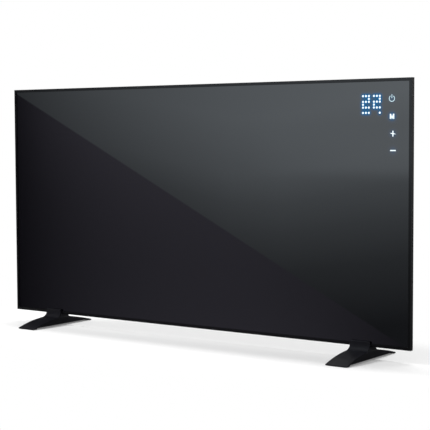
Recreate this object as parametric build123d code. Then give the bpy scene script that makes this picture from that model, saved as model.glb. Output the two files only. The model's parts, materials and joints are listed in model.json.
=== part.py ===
from build123d import *
import os
from math import cos, pi, radians, sin, sqrt, tan

os.makedirs("parts", exist_ok=True)

# A free-standing glass-fronted infrared panel heater, in millimetres.
# X runs to the right as seen from the front, Y to the rear and Z up. The origin lies on the floor,
# under the middle of the panel and in the plane halfway between the tips of the feet.

# Overall sizes of the heated panel
PANEL_WIDTH = 1200.0
PANEL_HEIGHT = 600.0
PANEL_DEPTH = 24.0  # front of the frame to the flat back of the rear cover
GROUND_GAP = 31.0  # floor to the underside of the panel

# Clearances
SEAT_GAP = 0.3  # between pieces that nearly touch
SLIDE_GAP = 0.2  # each side of a piece that moves or drops in
PIN_GAP = 0.05  # radial, round a pivot pin

# Aluminium frame profile
FRAME_DEPTH = 10.5
PROFILE_WALL = 1.5
LIP_WIDTH = 7.2  # front lip that shows round the glass
FLANGE_WIDTH = 14.0  # rear flange that takes the cover screws
EDGE_RADIUS = 0.8

# Corner keys
KEY_LEG = 45.0
KEY_THICKNESS = 2.2
GRUB_RADIUS = 2.0
GRUB_INSETS = (20.0, 36.0)  # from the outer corner, along each leg

# Glass and its seal
GLASS_THICKNESS = 4.0
GLASS_CHAMFER = 0.5
SEAL_THICKNESS = 0.5  # front and rear legs
SEAL_WALL = 1.5  # round the glass edge
SEAL_LEG = 3.0

# Heating film, foil and insulation
HEATER_INSET = 25.0  # panel edge to the film and insulation edge
FILM_THICKNESS = 0.4
BUSBAR_WIDTH = 9.0
BUSBAR_THICKNESS = 0.2
BUSBAR_INSET = 4.0
TAB_SIZE = 6.0
FOIL_THICKNESS = 0.2
BOARD_THICKNESS = 9.0

# Thermal cut-outs
CUTOUT_RADIUS = 8.0
CUTOUT_STEP = 2.0
CUTOUT_HOLE_GAP = 1.5
CUTOUT_X = 320.0
CUTOUT_HEIGHTS = (200.0, 455.0)  # above the panel's underside
BLADE_WIDTH = 4.8
BLADE_THICKNESS = 0.8
BLADE_LENGTH = 5.0

# Pressed steel rear cover
COVER_SHEET = 0.8
COVER_EDGE_INSET = 2.0
COVER_FLANGE = 12.0
COVER_SLOPE_INSET = 10.0
COVER_CORNER_RADIUS = 18.0
RIB_LENGTH = 820.0
RIB_WIDTH = 22.0
RIB_HEIGHT = 2.4
RIB_CENTRE_X = -80.0
RIB_HEIGHTS = (110.0, 300.0, 490.0)  # above the panel's underside
COVER_SCREWS_ACROSS = 6
COVER_SCREWS_UP = 3

# Self-tapping screws of the rear cover
TAPPER_RADIUS = 1.5
TAPPER_HEAD_RADIUS = 3.2
TAPPER_HEAD_HEIGHT = 2.0

# Stiffening bars inside the rear cover
STIFFENERS = 3
STIFFENER_LAST_X = 180.0
STIFFENER_GAP = 22.0  # between the first bar and the wall bracket's nuts
STIFFENER_CROWN = 24.0
STIFFENER_BASE = 36.0
STIFFENER_FLANGE = 10.0
STIFFENER_END_INSET = 34.0

# Rivet nuts, M5
NUT_BORE = 2.5
NUT_BARREL_RADIUS = 3.5
NUT_COLLAR_RADIUS = 4.8
NUT_COLLAR = 1.0
NUT_DEPTH = 6.8  # behind the sheet
WALL_SPACING_X = 700.0
WALL_SPACING_Z = 300.0

# Feet
FRONT_REACH = 122.0  # middle of the panel's depth to the tip of a leg
REAR_REACH = 107.0
LEFT_FOOT_INSET = 139.0  # side of the panel to the middle of a foot
RIGHT_FOOT_INSET = 125.5
FOOT_TIP_WIDTH = 56.0
FOOT_WAIST_WIDTH = 55.0
NECK_WIDTH = 50.0
FOOT_TIP_HEIGHT = 2.8
FOOT_CROWN_HEIGHT = 21.5
FRONT_LEG_RISE = 3.8  # of a leg's upper side above a straight line
REAR_LEG_RISE = 1.4
FOOT_UNDERSIDE = 1.2
FOOT_RELIEF = 3.0
FOOT_RAMP = 4.0  # from a pad up to the raised underside
FOOT_LIP = 3.2
FOOT_LIP_HEIGHT = 12.0
FOOT_LEG_HEIGHT = 62.0
FOOT_WALL = 2.6
FOOT_RIB = 1.6
FOOT_RIB_PITCH = 26.0
FOOT_EDGE_RADIUS = 1.2
FOOT_CORNER_RADIUS = 2.5
FRONT_BLEND = 18.0
REAR_BLEND = 6.0
NECK_ROOT = 7.0  # of the neck inside the legs
NECK_FLARE_HEIGHT = 10.0
FOOT_SCREW_HEIGHT = 46.0  # above the panel's underside
FOOT_SCREW_PITCH = 26.0
FOOT_SCREW_RADIUS = 2.5
FOOT_SCREW_HEAD_RADIUS = 4.6
FOOT_SCREW_HEAD_HEIGHT = 2.8
PAD_LENGTH = 8.0
PAD_SIDE_GAP = 6.0
PAD_INSET = 3.0
PAD_RECESS = 0.7

# Display and touch keys, placed from the panel's top right corner
DISPLAY_RIGHT_INSET = 80.0
DISPLAY_TOP_INSET = 38.6
DIGITS = 2
DIGIT_PITCH = 27.4
DOT_COLUMNS = 3
DOT_ROWS = 5
DOT_PITCH_X = 7.4
DOT_PITCH_Z = 6.4
INDICATOR_DROP = 11.7
LED_WIDTH = 2.8
LED_HEIGHT = 1.2
WELL_WIDTH = 5.2
WELL_HEIGHT = 4.6
KEYS = 4
KEY_RIGHT_INSET = 48.0
KEY_TOP_INSET = 44.6
KEY_PITCH = 38.0
SPRING_RADIUS = 6.5
SPRING_WALL = 1.2
CARRIER_RIGHT_INSET = 27.0
CARRIER_TOP_INSET = 20.0
CARRIER_WIDTH = 109.0
CARRIER_HEIGHT = 158.0
CARRIER_THICKNESS = 3.0
DISPLAY_BOARD_MARGIN = 3.0
BOARD_SHEET = 1.6
BOARD_SCREW_RADIUS = 1.25
BOARD_SCREW_HEAD_RADIUS = 2.4
BOARD_SCREW_HEAD_HEIGHT = 1.4
BOARD_SCREW_INSET = 5.0

# Control box on the rear
BOX_RIGHT_INSET = 34.0
BOX_TOP_INSET = 25.0
BOX_WIDTH = 126.0
BOX_HEIGHT = 190.0
BOX_DEPTH = 30.0  # proud of the rear cover
BOX_WALL = 2.2
BOX_CORNER_RADIUS = 8.0
BOX_EDGE_RADIUS = 2.0
TRAY_FLANGE = 10.0
TRAY_FLANGE_THICKNESS = 2.0
TRAY_WALL = 1.6
TRAY_CORNER_RADIUS = 4.0
TRAY_WINDOW_MARGIN = 1.5  # round the connector that passes the floor
TRAY_WINDOW_RISE = 22.0  # above the lower edge of the display board
BOX_SCREW_INSET = 7.0
BOX_SCREW_RADIUS = 1.5
BOX_SCREW_HEAD_RADIUS = 2.9
BOX_SCREW_HEAD_HEIGHT = 2.2
BOX_BOSS_RADIUS = 4.2
VENT_SLOTS = 9
VENT_SLOT_WIDTH = 3.0
VENT_SLOT_LENGTH = 34.0
VENT_PITCH = 8.0
VENT_DROP = 44.0  # upper row, below the box's top
VENT_ROWS = 2
VENT_ROW_PITCH = 100.0

# Power board and what it carries
STANDOFF_HEIGHT = 5.5
STANDOFF_RADIUS = 3.0
POWER_BOARD_GAP = 3.0
POWER_BOARD_SCREW_INSET = 5.0
RELAY_SIZE = (15.5, 19.0, 19.0)  # across, out and up
TRANSFORMER_SIZE = (27.0, 20.0, 32.0)
CAPACITOR_RADIUS = 5.0
CAPACITOR_HEIGHT = 16.0
CAPACITOR_EDGE = 0.8
TERMINAL_SIZE = (30.0, 12.0, 11.0)
TERMINAL_WAYS = 3
FUSE_RADIUS = 2.6
FUSE_LENGTH = 20.0
FUSE_CLIP_INSET = 2.5
FUSE_CLIP_LENGTH = 4.0
FUSE_CLIP_WALL = 1.0
TILT_RADIUS = 5.0
TILT_HEIGHT = 13.0
BUZZER_RADIUS = 6.0
BUZZER_HEIGHT = 6.0
BUZZER_HOLE_RADIUS = 1.2
BUZZER_HOLE_DEPTH = 1.0
CONNECTOR_WIDTH = 14.0
CONNECTOR_HEIGHT = 5.0
CONNECTOR_SPLIT = 2.5  # height of the lower half, on the display board
CHIP_SIZE = (10.0, 1.2, 10.0)
SENSOR_RADIUS = 1.6
SENSOR_LENGTH = 7.0
SENSOR_HOLDER_WIDTH = 6.0
SENSOR_HOLDER_HEIGHT = 4.0

# Cable gland in the floor of the control box
CORD_RADIUS = 3.5
GLAND_THREAD_RADIUS = 7.5
GLAND_HEX_RADIUS = 10.5
GLAND_FLANGE = 3.5
GLAND_INSIDE = 7.0
GLAND_NUT_THICKNESS = 3.5
GLAND_CAP_HEIGHT = 12.0
GLAND_CAP_RADIUS = 9.0
GLAND_WALL = 1.6
GLAND_THROAT_RADIUS = 4.3  # narrow upper bore
GROMMET_LIP = 0.6  # height of the sleeve's lip in the throat
GLAND_LEFT_INSET = 80.0  # clear of the foot below

# Rocker switch in the right side of the control box
SWITCH_LONG = 19.2
SWITCH_SHORT = 13.0
SWITCH_BEZEL_LONG = 21.6
SWITCH_BEZEL_SHORT = 15.2
SWITCH_BEZEL = 1.8
SWITCH_DEPTH = 12.0
SWITCH_DROP = 72.0  # below the box's top
ROCKER_RADIUS = 8.3
ROCKER_WIDTH = 10.8
ROCKER_TILT = 11.0  # each way from level, degrees
ROCKER_PIVOT_DEPTH = 2.0  # below the face of the bezel
ROCKER_CREST = 1.7  # middle of the rocker's face, above the pivot
ROCKER_UNDERSIDE = 2.0
ROCKER_PIN_RADIUS = 1.2
ROCKER_PIN_LENGTH = 0.8
ROCKER_POCKET_FLOOR = 4.4

# Leads behind the insulation
LEAD_RADIUS = 1.3
LEAD_BEND = 8.0
LEAD_DROP = 18.0  # from a blade or tab to the first bend
LEAD_ENTRY_RISE = 40.0  # entries in the tray's side, up from its lower edge
LEAD_ENTRY_SIDE = 30.0  # entries in the tray's lower edge, in from its left side
LEAD_INSIDE = 14.0  # length inside the tray
FERRULE_LENGTH = 5.0

# Places that follow from the sizes
FRONT_Y = -PANEL_DEPTH / 2
BACK_Y = PANEL_DEPTH / 2
RIGHT_X = PANEL_WIDTH / 2
BOTTOM_Z = GROUND_GAP
TOP_Z = GROUND_GAP + PANEL_HEIGHT
MIDDLE_Z = GROUND_GAP + PANEL_HEIGHT / 2
FRAME_BACK_Y = FRONT_Y + FRAME_DEPTH
FLANGE_FRONT_Y = FRAME_BACK_Y - PROFILE_WALL
GLASS_FRONT_Y = FRONT_Y + PROFILE_WALL + SEAL_THICKNESS
GLASS_BACK_Y = GLASS_FRONT_Y + GLASS_THICKNESS
FILM_BACK_Y = GLASS_BACK_Y + FILM_THICKNESS
BUSBAR_BACK_Y = FILM_BACK_Y + BUSBAR_THICKNESS
BOARD_FRONT_Y = BUSBAR_BACK_Y + FOIL_THICKNESS
BOARD_BACK_Y = BOARD_FRONT_Y + BOARD_THICKNESS
COVER_INSIDE_Y = BACK_Y - COVER_SHEET
LEAD_Y = BOARD_BACK_Y + SEAT_GAP + LEAD_RADIUS
CARRIER_BACK_Y = GLASS_BACK_Y + CARRIER_THICKNESS
DISPLAY_BOARD_BACK_Y = CARRIER_BACK_Y + BOARD_SHEET
TRAY_FLOOR_Y = DISPLAY_BOARD_BACK_Y + CHIP_SIZE[1] + SLIDE_GAP
TRAY_INSIDE_Y = TRAY_FLOOR_Y + TRAY_WALL
POWER_BOARD_Y = TRAY_INSIDE_Y + STANDOFF_HEIGHT
POWER_FACE_Y = POWER_BOARD_Y + BOARD_SHEET
TRAY_BACK_Y = BACK_Y + TRAY_FLANGE_THICKNESS
BOX_BACK_Y = BACK_Y + BOX_DEPTH
BOX_RIGHT = RIGHT_X - BOX_RIGHT_INSET
BOX_LEFT = BOX_RIGHT - BOX_WIDTH
BOX_TOP = TOP_Z - BOX_TOP_INSET
BOX_BOTTOM = BOX_TOP - BOX_HEIGHT
BOX_X = (BOX_LEFT + BOX_RIGHT) / 2
BOX_Z = (BOX_TOP + BOX_BOTTOM) / 2
BOX_MIDDLE_Y = (TRAY_BACK_Y + BOX_BACK_Y - BOX_WALL) / 2
WELL_OUTER_WIDTH = BOX_WIDTH - 2 * TRAY_FLANGE
WELL_OUTER_HEIGHT = BOX_HEIGHT - 2 * TRAY_FLANGE
NOTCH_X = BOX_LEFT + TRAY_FLANGE - 4 * SEAT_GAP
NOTCH_Z = BOX_BOTTOM + TRAY_FLANGE - 4 * SEAT_GAP
FOOT_XS = (LEFT_FOOT_INSET - RIGHT_X, RIGHT_X - RIGHT_FOOT_INSET)
SHIFT_Y = (FRONT_REACH - REAR_REACH) / 2  # puts the origin midway between the tips of the feet
CARRIER_X = RIGHT_X - CARRIER_RIGHT_INSET - CARRIER_WIDTH / 2
CARRIER_Z = TOP_Z - CARRIER_TOP_INSET - CARRIER_HEIGHT / 2
KEY_X = RIGHT_X - KEY_RIGHT_INSET
POWER_KEY_Z = TOP_Z - KEY_TOP_INSET
PIVOT_X = BOX_RIGHT + SWITCH_BEZEL - ROCKER_PIVOT_DEPTH
PIVOT_Z = BOX_TOP - SWITCH_DROP


# Shape helpers


def facing(y, x=0.0, z=0.0):
    """Plane at depth y whose local X is X and local Y is Z; its normal points to the front."""
    return Plane(origin=(x, y, z), x_dir=(1, 0, 0), z_dir=(0, -1, 0))


def slab(outline, y0, y1, x=0.0, z=0.0):
    """Flat piece with an outline seen from the front, from depth y0 to depth y1."""
    return extrude(facing(y1, x, z) * outline, amount=y1 - y0)


def block(x, y, z):
    """Box between two values on each axis."""
    size = [high - low for low, high in (x, y, z)]
    middle = [(low + high) / 2 for low, high in (x, y, z)]
    return Pos(*middle) * Box(*size)


def centred_block(x, z, size, y0):
    """Box of size (across, out, up) that stands on depth y0."""
    across, out, up = size
    return block((x - across / 2, x + across / 2), (y0, y0 + out), (z - up / 2, z + up / 2))


def rod_y(x, z, radius, y0, y1):
    """Round bar along Y."""
    return slab(Circle(radius), y0, y1, x, z)


def rod_z(x, y, radius, z0, z1):
    """Round bar along Z."""
    return Pos(x, y, (z0 + z1) / 2) * Cylinder(radius, z1 - z0)


def save(name, *pieces):
    """Write one sub-part, of one solid or of a group of alike solids, in the shared frame."""
    solids = [Pos(0, SHIFT_Y, 0) * solid for piece in pieces for solid in piece.solids()]
    shape = solids[0] if len(solids) == 1 else Compound(children=solids)
    shape.label = name
    export_step(shape, "parts/" + name + ".step")


def corners(x_spread, z_spread, x=0.0, z=0.0):
    """Four points of a rectangle round a centre."""
    return [(x + i * x_spread / 2, z + k * z_spread / 2) for i in (-1, 1) for k in (-1, 1)]


def headed_screw(x, z, y_seat, radius, length, head_radius, head_height):
    """Screw that enters towards the front, its bevelled head on the seat."""
    head = rod_y(x, z, head_radius, y_seat, y_seat + head_height)
    rim = head.faces().sort_by(Axis.Y)[-1].edges()
    head = chamfer(rim, head_height * 0.4)
    return head + rod_y(x, z, radius, y_seat - length, y_seat)


# Frame


def rail_section():
    """Channel profile: local X is depth from the front, local Y runs inwards."""
    outline = Polyline(
        (0, 0),
        (FRAME_DEPTH, 0),
        (FRAME_DEPTH, FLANGE_WIDTH),
        (FRAME_DEPTH - PROFILE_WALL, FLANGE_WIDTH),
        (FRAME_DEPTH - PROFILE_WALL, PROFILE_WALL),
        (PROFILE_WALL, PROFILE_WALL),
        (PROFILE_WALL, LIP_WIDTH),
        (0, LIP_WIDTH),
        close=True,
    )
    section = make_face(outline)
    front_corner = section.vertices().sort_by_distance((0, 0, 0))[0]
    return fillet(front_corner, EDGE_RADIUS)


def cover_screw_points():
    """Places of the rear cover's screws, in the middle of its flange."""
    inset = COVER_EDGE_INSET + COVER_FLANGE / 2
    reach_x = RIGHT_X - inset
    reach_z = PANEL_HEIGHT / 2 - inset
    step_x = 2 * reach_x / COVER_SCREWS_ACROSS
    step_z = 2 * reach_z / COVER_SCREWS_UP
    xs = [-reach_x + step_x * (k + 0.5) for k in range(COVER_SCREWS_ACROSS)]
    zs = [MIDDLE_Z - reach_z + step_z * (k + 0.5) for k in range(COVER_SCREWS_UP)]
    rows = [(x, MIDDLE_Z + side * reach_z) for side in (-1, 1) for x in xs]
    columns = [(side * reach_x, z) for side in (-1, 1) for z in zs]
    return rows + columns


def mitred_rail(length):
    """Rail along X with its outer edge at z = 0, cut at 45 degrees at both ends."""
    start = Plane(origin=(-length / 2, FRONT_Y, 0), x_dir=(0, 1, 0), z_dir=(1, 0, 0))
    bar = extrude(start * rail_section(), amount=length)
    half = length / 2
    outline = make_face(
        Polyline(
            (-half, 0),
            (half, 0),
            (half - FLANGE_WIDTH, FLANGE_WIDTH),
            (-half + FLANGE_WIDTH, FLANGE_WIDTH),
            close=True,
        )
    )
    return bar & slab(outline, FRONT_Y, FRAME_BACK_Y)


def frame_rails():
    """The four mitred rails, drilled for the rear cover's screws."""
    across, upright = mitred_rail(PANEL_WIDTH), mitred_rail(PANEL_HEIGHT)
    rails = {
        "frame_bottom_rail": Pos(0, 0, BOTTOM_Z) * across,
        "frame_top_rail": Pos(0, 0, TOP_Z) * Rot(0, 180, 0) * across,
        "frame_right_rail": Pos(RIGHT_X, 0, MIDDLE_Z) * Rot(0, -90, 0) * upright,
        "frame_left_rail": Pos(-RIGHT_X, 0, MIDDLE_Z) * Rot(0, 90, 0) * upright,
    }
    holes = [
        rod_y(x, z, TAPPER_RADIUS, FLANGE_FRONT_Y, FRAME_BACK_Y) for x, z in cover_screw_points()
    ]
    return {name: rail - holes for name, rail in rails.items()}


def key_points():
    """Corner, and the directions of the two legs, of each corner key."""
    return [(i, k, i * (RIGHT_X - PROFILE_WALL), MIDDLE_Z + k * (PANEL_HEIGHT / 2 - PROFILE_WALL))
            for i in (-1, 1) for k in (-1, 1)]


def grub_points():
    """Places of the grub screws in the corner keys."""
    middle = (FLANGE_WIDTH - PROFILE_WALL) / 2
    points = []
    for i, k, x, z in key_points():
        points += [(x - i * inset, z - k * middle) for inset in GRUB_INSETS]
        points += [(x - i * middle, z - k * inset) for inset in GRUB_INSETS]
    return points


def corner_keys():
    """L-shaped plates in the frame's channel that join the rails at the mitres."""
    width = FLANGE_WIDTH - PROFILE_WALL
    back = FLANGE_FRONT_Y
    front = back - KEY_THICKNESS
    keys = []
    for i, k, x, z in key_points():
        outline = make_face(
            Polyline(
                (x, z),
                (x - i * KEY_LEG, z),
                (x - i * KEY_LEG, z - k * width),
                (x - i * width, z - k * width),
                (x - i * width, z - k * KEY_LEG),
                (x, z - k * KEY_LEG),
                close=True,
            )
        )
        keys.append(slab(outline, front, back))
    holes = [rod_y(x, z, GRUB_RADIUS, front, back) for x, z in grub_points()]
    return [key - holes for key in keys]


def corner_key_screws():
    """Grub screws with a hexagon socket, level with the keys."""
    front = FLANGE_FRONT_Y - KEY_THICKNESS
    socket = RegularPolygon(GRUB_RADIUS * 0.55, 6)
    screws = []
    for x, z in grub_points():
        body = rod_y(x, z, GRUB_RADIUS, front, FLANGE_FRONT_Y)
        screws.append(body - slab(socket, front, front + KEY_THICKNESS / 2, x, z))
    return screws


# Glass


def ring(width, height, inner_width, inner_height, y0, y1):
    """Rectangular ring round the middle of the panel."""
    outline = Rectangle(width, height) - Rectangle(inner_width, inner_height)
    return slab(outline, y0, y1, 0, MIDDLE_Z)


GLASS_WIDTH = PANEL_WIDTH - 2 * (PROFILE_WALL + SEAL_WALL)
GLASS_HEIGHT = PANEL_HEIGHT - 2 * (PROFILE_WALL + SEAL_WALL)


def glass_panel():
    """Toughened front pane with ground edges."""
    pane = slab(Rectangle(GLASS_WIDTH, GLASS_HEIGHT), GLASS_FRONT_Y, GLASS_BACK_Y, 0, MIDDLE_Z)
    return chamfer(pane.edges(), GLASS_CHAMFER)


def glass_seal():
    """U-shaped gasket round the edge of the glass."""
    outer_width = PANEL_WIDTH - 2 * PROFILE_WALL
    outer_height = PANEL_HEIGHT - 2 * PROFILE_WALL
    front = GLASS_FRONT_Y - SEAL_THICKNESS
    back = GLASS_BACK_Y + SEAL_THICKNESS
    legs = ring(
        outer_width,
        outer_height,
        GLASS_WIDTH - 2 * SEAL_LEG,
        GLASS_HEIGHT - 2 * SEAL_LEG,
        front,
        back,
    )
    return legs - slab(
        Rectangle(GLASS_WIDTH, GLASS_HEIGHT), GLASS_FRONT_Y, GLASS_BACK_Y, 0, MIDDLE_Z
    )


def backing_foam_strips():
    """Foam between the back of the glass and the frame's rear flange, clear of the keys."""
    inner = PROFILE_WALL + SEAL_WALL + SEAL_LEG + SEAT_GAP
    outer = FLANGE_WIDTH - SEAT_GAP
    start = PROFILE_WALL + KEY_LEG + SEAT_GAP
    strips = []
    for k in (-1, 1):
        edge = MIDDLE_Z + k * PANEL_HEIGHT / 2
        zs = sorted((edge - k * inner, edge - k * outer))
        strips.append(
            block((start - RIGHT_X, RIGHT_X - start), (GLASS_BACK_Y, FLANGE_FRONT_Y), zs)
        )
    for i in (-1, 1):
        xs = sorted((i * (RIGHT_X - inner), i * (RIGHT_X - outer)))
        strips.append(
            block(xs, (GLASS_BACK_Y, FLANGE_FRONT_Y), (BOTTOM_Z + start, TOP_Z - start))
        )
    return strips


# Heating layers


def heated_outline():
    """Outline of the heated area, notched at the upper right for the controls."""
    left, right = HEATER_INSET - RIGHT_X, RIGHT_X - HEATER_INSET
    low, high = BOTTOM_Z + HEATER_INSET, TOP_Z - HEATER_INSET
    return make_face(
        Polyline(
            (left, low),
            (right, low),
            (right, NOTCH_Z),
            (NOTCH_X, NOTCH_Z),
            (NOTCH_X, high),
            (left, high),
            close=True,
        )
    )


def cutout_points():
    """Places of the thermal cut-outs."""
    return [(CUTOUT_X, BOTTOM_Z + height) for height in CUTOUT_HEIGHTS]


def tab_points():
    """Places where the busbars' tabs come through the insulation."""
    low = BOTTOM_Z + HEATER_INSET + BUSBAR_INSET + BUSBAR_WIDTH / 2
    high = TOP_Z - HEATER_INSET - BUSBAR_INSET - BUSBAR_WIDTH / 2
    return [(BOX_X, low), (NOTCH_X - BUSBAR_INSET - 3 * TAB_SIZE, high)]


def heating_film():
    """Resistive film bonded to the back of the glass."""
    return slab(heated_outline(), GLASS_BACK_Y, FILM_BACK_Y)


def busbars():
    """Copper strips along the film's lower and upper edges, each with a tab to the rear."""
    left = HEATER_INSET + BUSBAR_INSET - RIGHT_X
    rights = (RIGHT_X - HEATER_INSET - BUSBAR_INSET, NOTCH_X - BUSBAR_INSET)
    bars = []
    for (x, z), right in zip(tab_points(), rights):
        strip = block(
            (left, right),
            (FILM_BACK_Y, BUSBAR_BACK_Y),
            (z - BUSBAR_WIDTH / 2, z + BUSBAR_WIDTH / 2),
        )
        tab = block(
            (x - TAB_SIZE / 2, x + TAB_SIZE / 2),
            (FILM_BACK_Y, LEAD_Y + LEAD_RADIUS),
            (z - BLADE_THICKNESS / 2, z + BLADE_THICKNESS / 2),
        )
        bars.append(strip + tab)
    return bars


def layer_holes(y0, y1):
    """Holes through the foil and insulation for the cut-outs and the tabs."""
    holes = [
        rod_y(x, z, CUTOUT_RADIUS + CUTOUT_HOLE_GAP, y0, y1) for x, z in cutout_points()
    ]
    size = TAB_SIZE + 2 * SLIDE_GAP
    holes += [
        slab(Rectangle(size, BLADE_THICKNESS + 2 * SLIDE_GAP), y0, y1, x, z)
        for x, z in tab_points()
    ]
    return holes


def reflector_foil():
    """Foil facing in front of the insulation."""
    y0, y1 = BUSBAR_BACK_Y, BOARD_FRONT_Y
    return slab(heated_outline(), y0, y1) - layer_holes(y0, y1)


def insulation_board():
    """Mineral board that presses the film and foil to the glass."""
    y0, y1 = BOARD_FRONT_Y, BOARD_BACK_Y
    return slab(heated_outline(), y0, y1) - layer_holes(y0, y1)


def thermal_cutouts():
    """Snap-disc thermostats on the film, each with two blades."""
    pieces = []
    for x, z in cutout_points():
        step = BOARD_BACK_Y - CUTOUT_STEP
        body = rod_y(x, z, CUTOUT_RADIUS, FILM_BACK_Y, step)
        body += rod_y(x, z, CUTOUT_RADIUS - CUTOUT_STEP, step, BOARD_BACK_Y)
        for side in (-1, 1):
            blade_z = z + side * CUTOUT_RADIUS / 2
            size = (BLADE_WIDTH, BLADE_LENGTH, BLADE_THICKNESS)
            body += centred_block(x, blade_z, size, BOARD_BACK_Y)
        pieces.append(body)
    return pieces


# Rear cover and its fasteners


def cover_outline(inset, radius):
    """Rounded rectangle, inset from the panel's edges."""
    return RectangleRounded(PANEL_WIDTH - 2 * inset, PANEL_HEIGHT - 2 * inset, radius)


def tapered(front_outline, y0, back_outline, y1, x=0.0, z=0.0):
    """Straight-sided solid between two outlines."""
    return loft([facing(y0, x, z) * front_outline, facing(y1, x, z) * back_outline], ruled=True)


def rear_cover():
    """Pressed steel pan with a flange, sloping sides and three stiffening ribs."""
    root = COVER_EDGE_INSET + COVER_FLANGE
    crest = root + COVER_SLOPE_INSET
    radius = COVER_CORNER_RADIUS
    flange_back = FRAME_BACK_Y + COVER_SHEET
    pan = tapered(
        cover_outline(root, radius), FRAME_BACK_Y, cover_outline(crest, radius), BACK_Y, z=MIDDLE_Z
    )
    pan += slab(cover_outline(COVER_EDGE_INSET, EDGE_RADIUS), FRAME_BACK_Y, flange_back, 0, MIDDLE_Z)
    hollow = tapered(
        cover_outline(root + COVER_SHEET, radius),
        FRAME_BACK_Y,
        cover_outline(crest + COVER_SHEET, radius),
        COVER_INSIDE_Y,
        z=MIDDLE_Z,
    )
    for height in RIB_HEIGHTS:
        z = BOTTOM_Z + height
        pan += pressed_rib(BACK_Y, 0.0, RIB_CENTRE_X, z)
        hollow += pressed_rib(COVER_INSIDE_Y, COVER_SHEET, RIB_CENTRE_X, z)
    cover = pan - hollow
    opening = slab(
        RectangleRounded(WELL_OUTER_WIDTH, WELL_OUTER_HEIGHT, TRAY_CORNER_RADIUS + TRAY_WALL),
        COVER_INSIDE_Y,
        BACK_Y,
        BOX_X,
        BOX_Z,
    )
    holes = [
        rod_y(x, z, TAPPER_RADIUS + SLIDE_GAP, FRAME_BACK_Y, flange_back)
        for x, z in cover_screw_points()
    ]
    holes += [
        rod_y(x, z, NUT_BARREL_RADIUS, COVER_INSIDE_Y, BACK_Y)
        for x, z in wall_nut_points() + foot_nut_points()
    ]
    holes += [
        rod_y(x, z, BOX_SCREW_RADIUS, COVER_INSIDE_Y, BACK_Y) for x, z in box_screw_points()
    ]
    return cover - opening - holes


def pressed_rib(y, inset, x, z):
    """Raised bead with rounded ends and sloping sides, from depth y to the rear."""
    slope = RIB_HEIGHT
    wide = SlotOverall(RIB_LENGTH - 2 * inset, RIB_WIDTH - 2 * inset)
    narrow = SlotOverall(RIB_LENGTH - 2 * inset - 2 * slope, RIB_WIDTH - 2 * inset - 2 * slope)
    return tapered(wide, y, narrow, y + RIB_HEIGHT, x, z)


def rear_cover_screws():
    """Self-tapping screws through the cover's flange into the frame."""
    seat = FRAME_BACK_Y + COVER_SHEET
    return [
        headed_screw(
            x, z, seat, TAPPER_RADIUS, COVER_SHEET + PROFILE_WALL,
            TAPPER_HEAD_RADIUS, TAPPER_HEAD_HEIGHT,
        )
        for x, z in cover_screw_points()
    ]


def wall_nut_points():
    """Rectangle of rivet nuts that a wall bracket bolts to."""
    return corners(WALL_SPACING_X, WALL_SPACING_Z, 0, MIDDLE_Z)


def foot_nut_points():
    """Rivet nuts that the feet's screws enter."""
    z = BOTTOM_Z + FOOT_SCREW_HEIGHT
    return [
        (foot_x + half * FOOT_SCREW_PITCH / 2, z) for foot_x in FOOT_XS for half in (-1, 1)
    ]


def rivet_nuts():
    """Threaded inserts set in the rear cover."""
    nuts = []
    for x, z in wall_nut_points() + foot_nut_points():
        nut = rod_y(x, z, NUT_BARREL_RADIUS, COVER_INSIDE_Y - NUT_DEPTH, BACK_Y)
        nut += rod_y(x, z, NUT_COLLAR_RADIUS, BACK_Y, BACK_Y + NUT_COLLAR)
        nuts.append(
            nut - rod_y(x, z, NUT_BORE, COVER_INSIDE_Y - NUT_DEPTH, BACK_Y + NUT_COLLAR)
        )
    return nuts


def backing_stiffeners():
    """Hat-section bars between the insulation and the rear cover."""
    low, high = BOARD_BACK_Y, COVER_INSIDE_Y
    half_crown, half_base = STIFFENER_CROWN / 2, STIFFENER_BASE / 2
    half_flange = half_base + STIFFENER_FLANGE
    half_outline = [
        (-half_flange, high),
        (-half_flange, high - COVER_SHEET),
        (-half_base, high - COVER_SHEET),
        (-half_crown, low),
    ]
    inner_outline = [
        (half_crown - COVER_SHEET / 2, low + COVER_SHEET),
        (half_base - COVER_SHEET, high),
    ]
    outline = half_outline + [(-x, y) for x, y in reversed(half_outline)]
    inner = [(x, y) for x, y in reversed(inner_outline)] + [(-x, y) for x, y in inner_outline]
    section = make_face(Polyline(*outline, *inner, close=True))
    z0, z1 = BOTTOM_Z + STIFFENER_END_INSET, TOP_Z - STIFFENER_END_INSET
    first_x = STIFFENER_GAP + half_flange - WALL_SPACING_X / 2
    pitch = (STIFFENER_LAST_X - first_x) / (STIFFENERS - 1)
    return [
        Pos(first_x + k * pitch, 0, z0) * extrude(section, amount=z1 - z0) for k in range(STIFFENERS)
    ]


# Display and touch keys behind the glass


def dot_points():
    """Centres of the dots of both digits and of the indicator row below them."""
    right = RIGHT_X - DISPLAY_RIGHT_INSET
    top = TOP_Z - DISPLAY_TOP_INSET
    rows = [top - row * DOT_PITCH_Z for row in range(DOT_ROWS)]
    rows.append(rows[-1] - INDICATOR_DROP)
    columns = [
        right - digit * DIGIT_PITCH - column * DOT_PITCH_X
        for digit in range(DIGITS)
        for column in range(DOT_COLUMNS)
    ]
    return [(x, z) for z in rows for x in columns]


def touch_key_points():
    """Centres of the touch keys, from the top down."""
    return [(KEY_X, POWER_KEY_Z - k * KEY_PITCH) for k in range(KEYS)]


def display_screw_points():
    """Screws that hold the display board to its carrier."""
    inset = 2 * (DISPLAY_BOARD_MARGIN + BOARD_SCREW_INSET)
    return corners(CARRIER_WIDTH - inset, CARRIER_HEIGHT - inset, CARRIER_X, CARRIER_Z)


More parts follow.
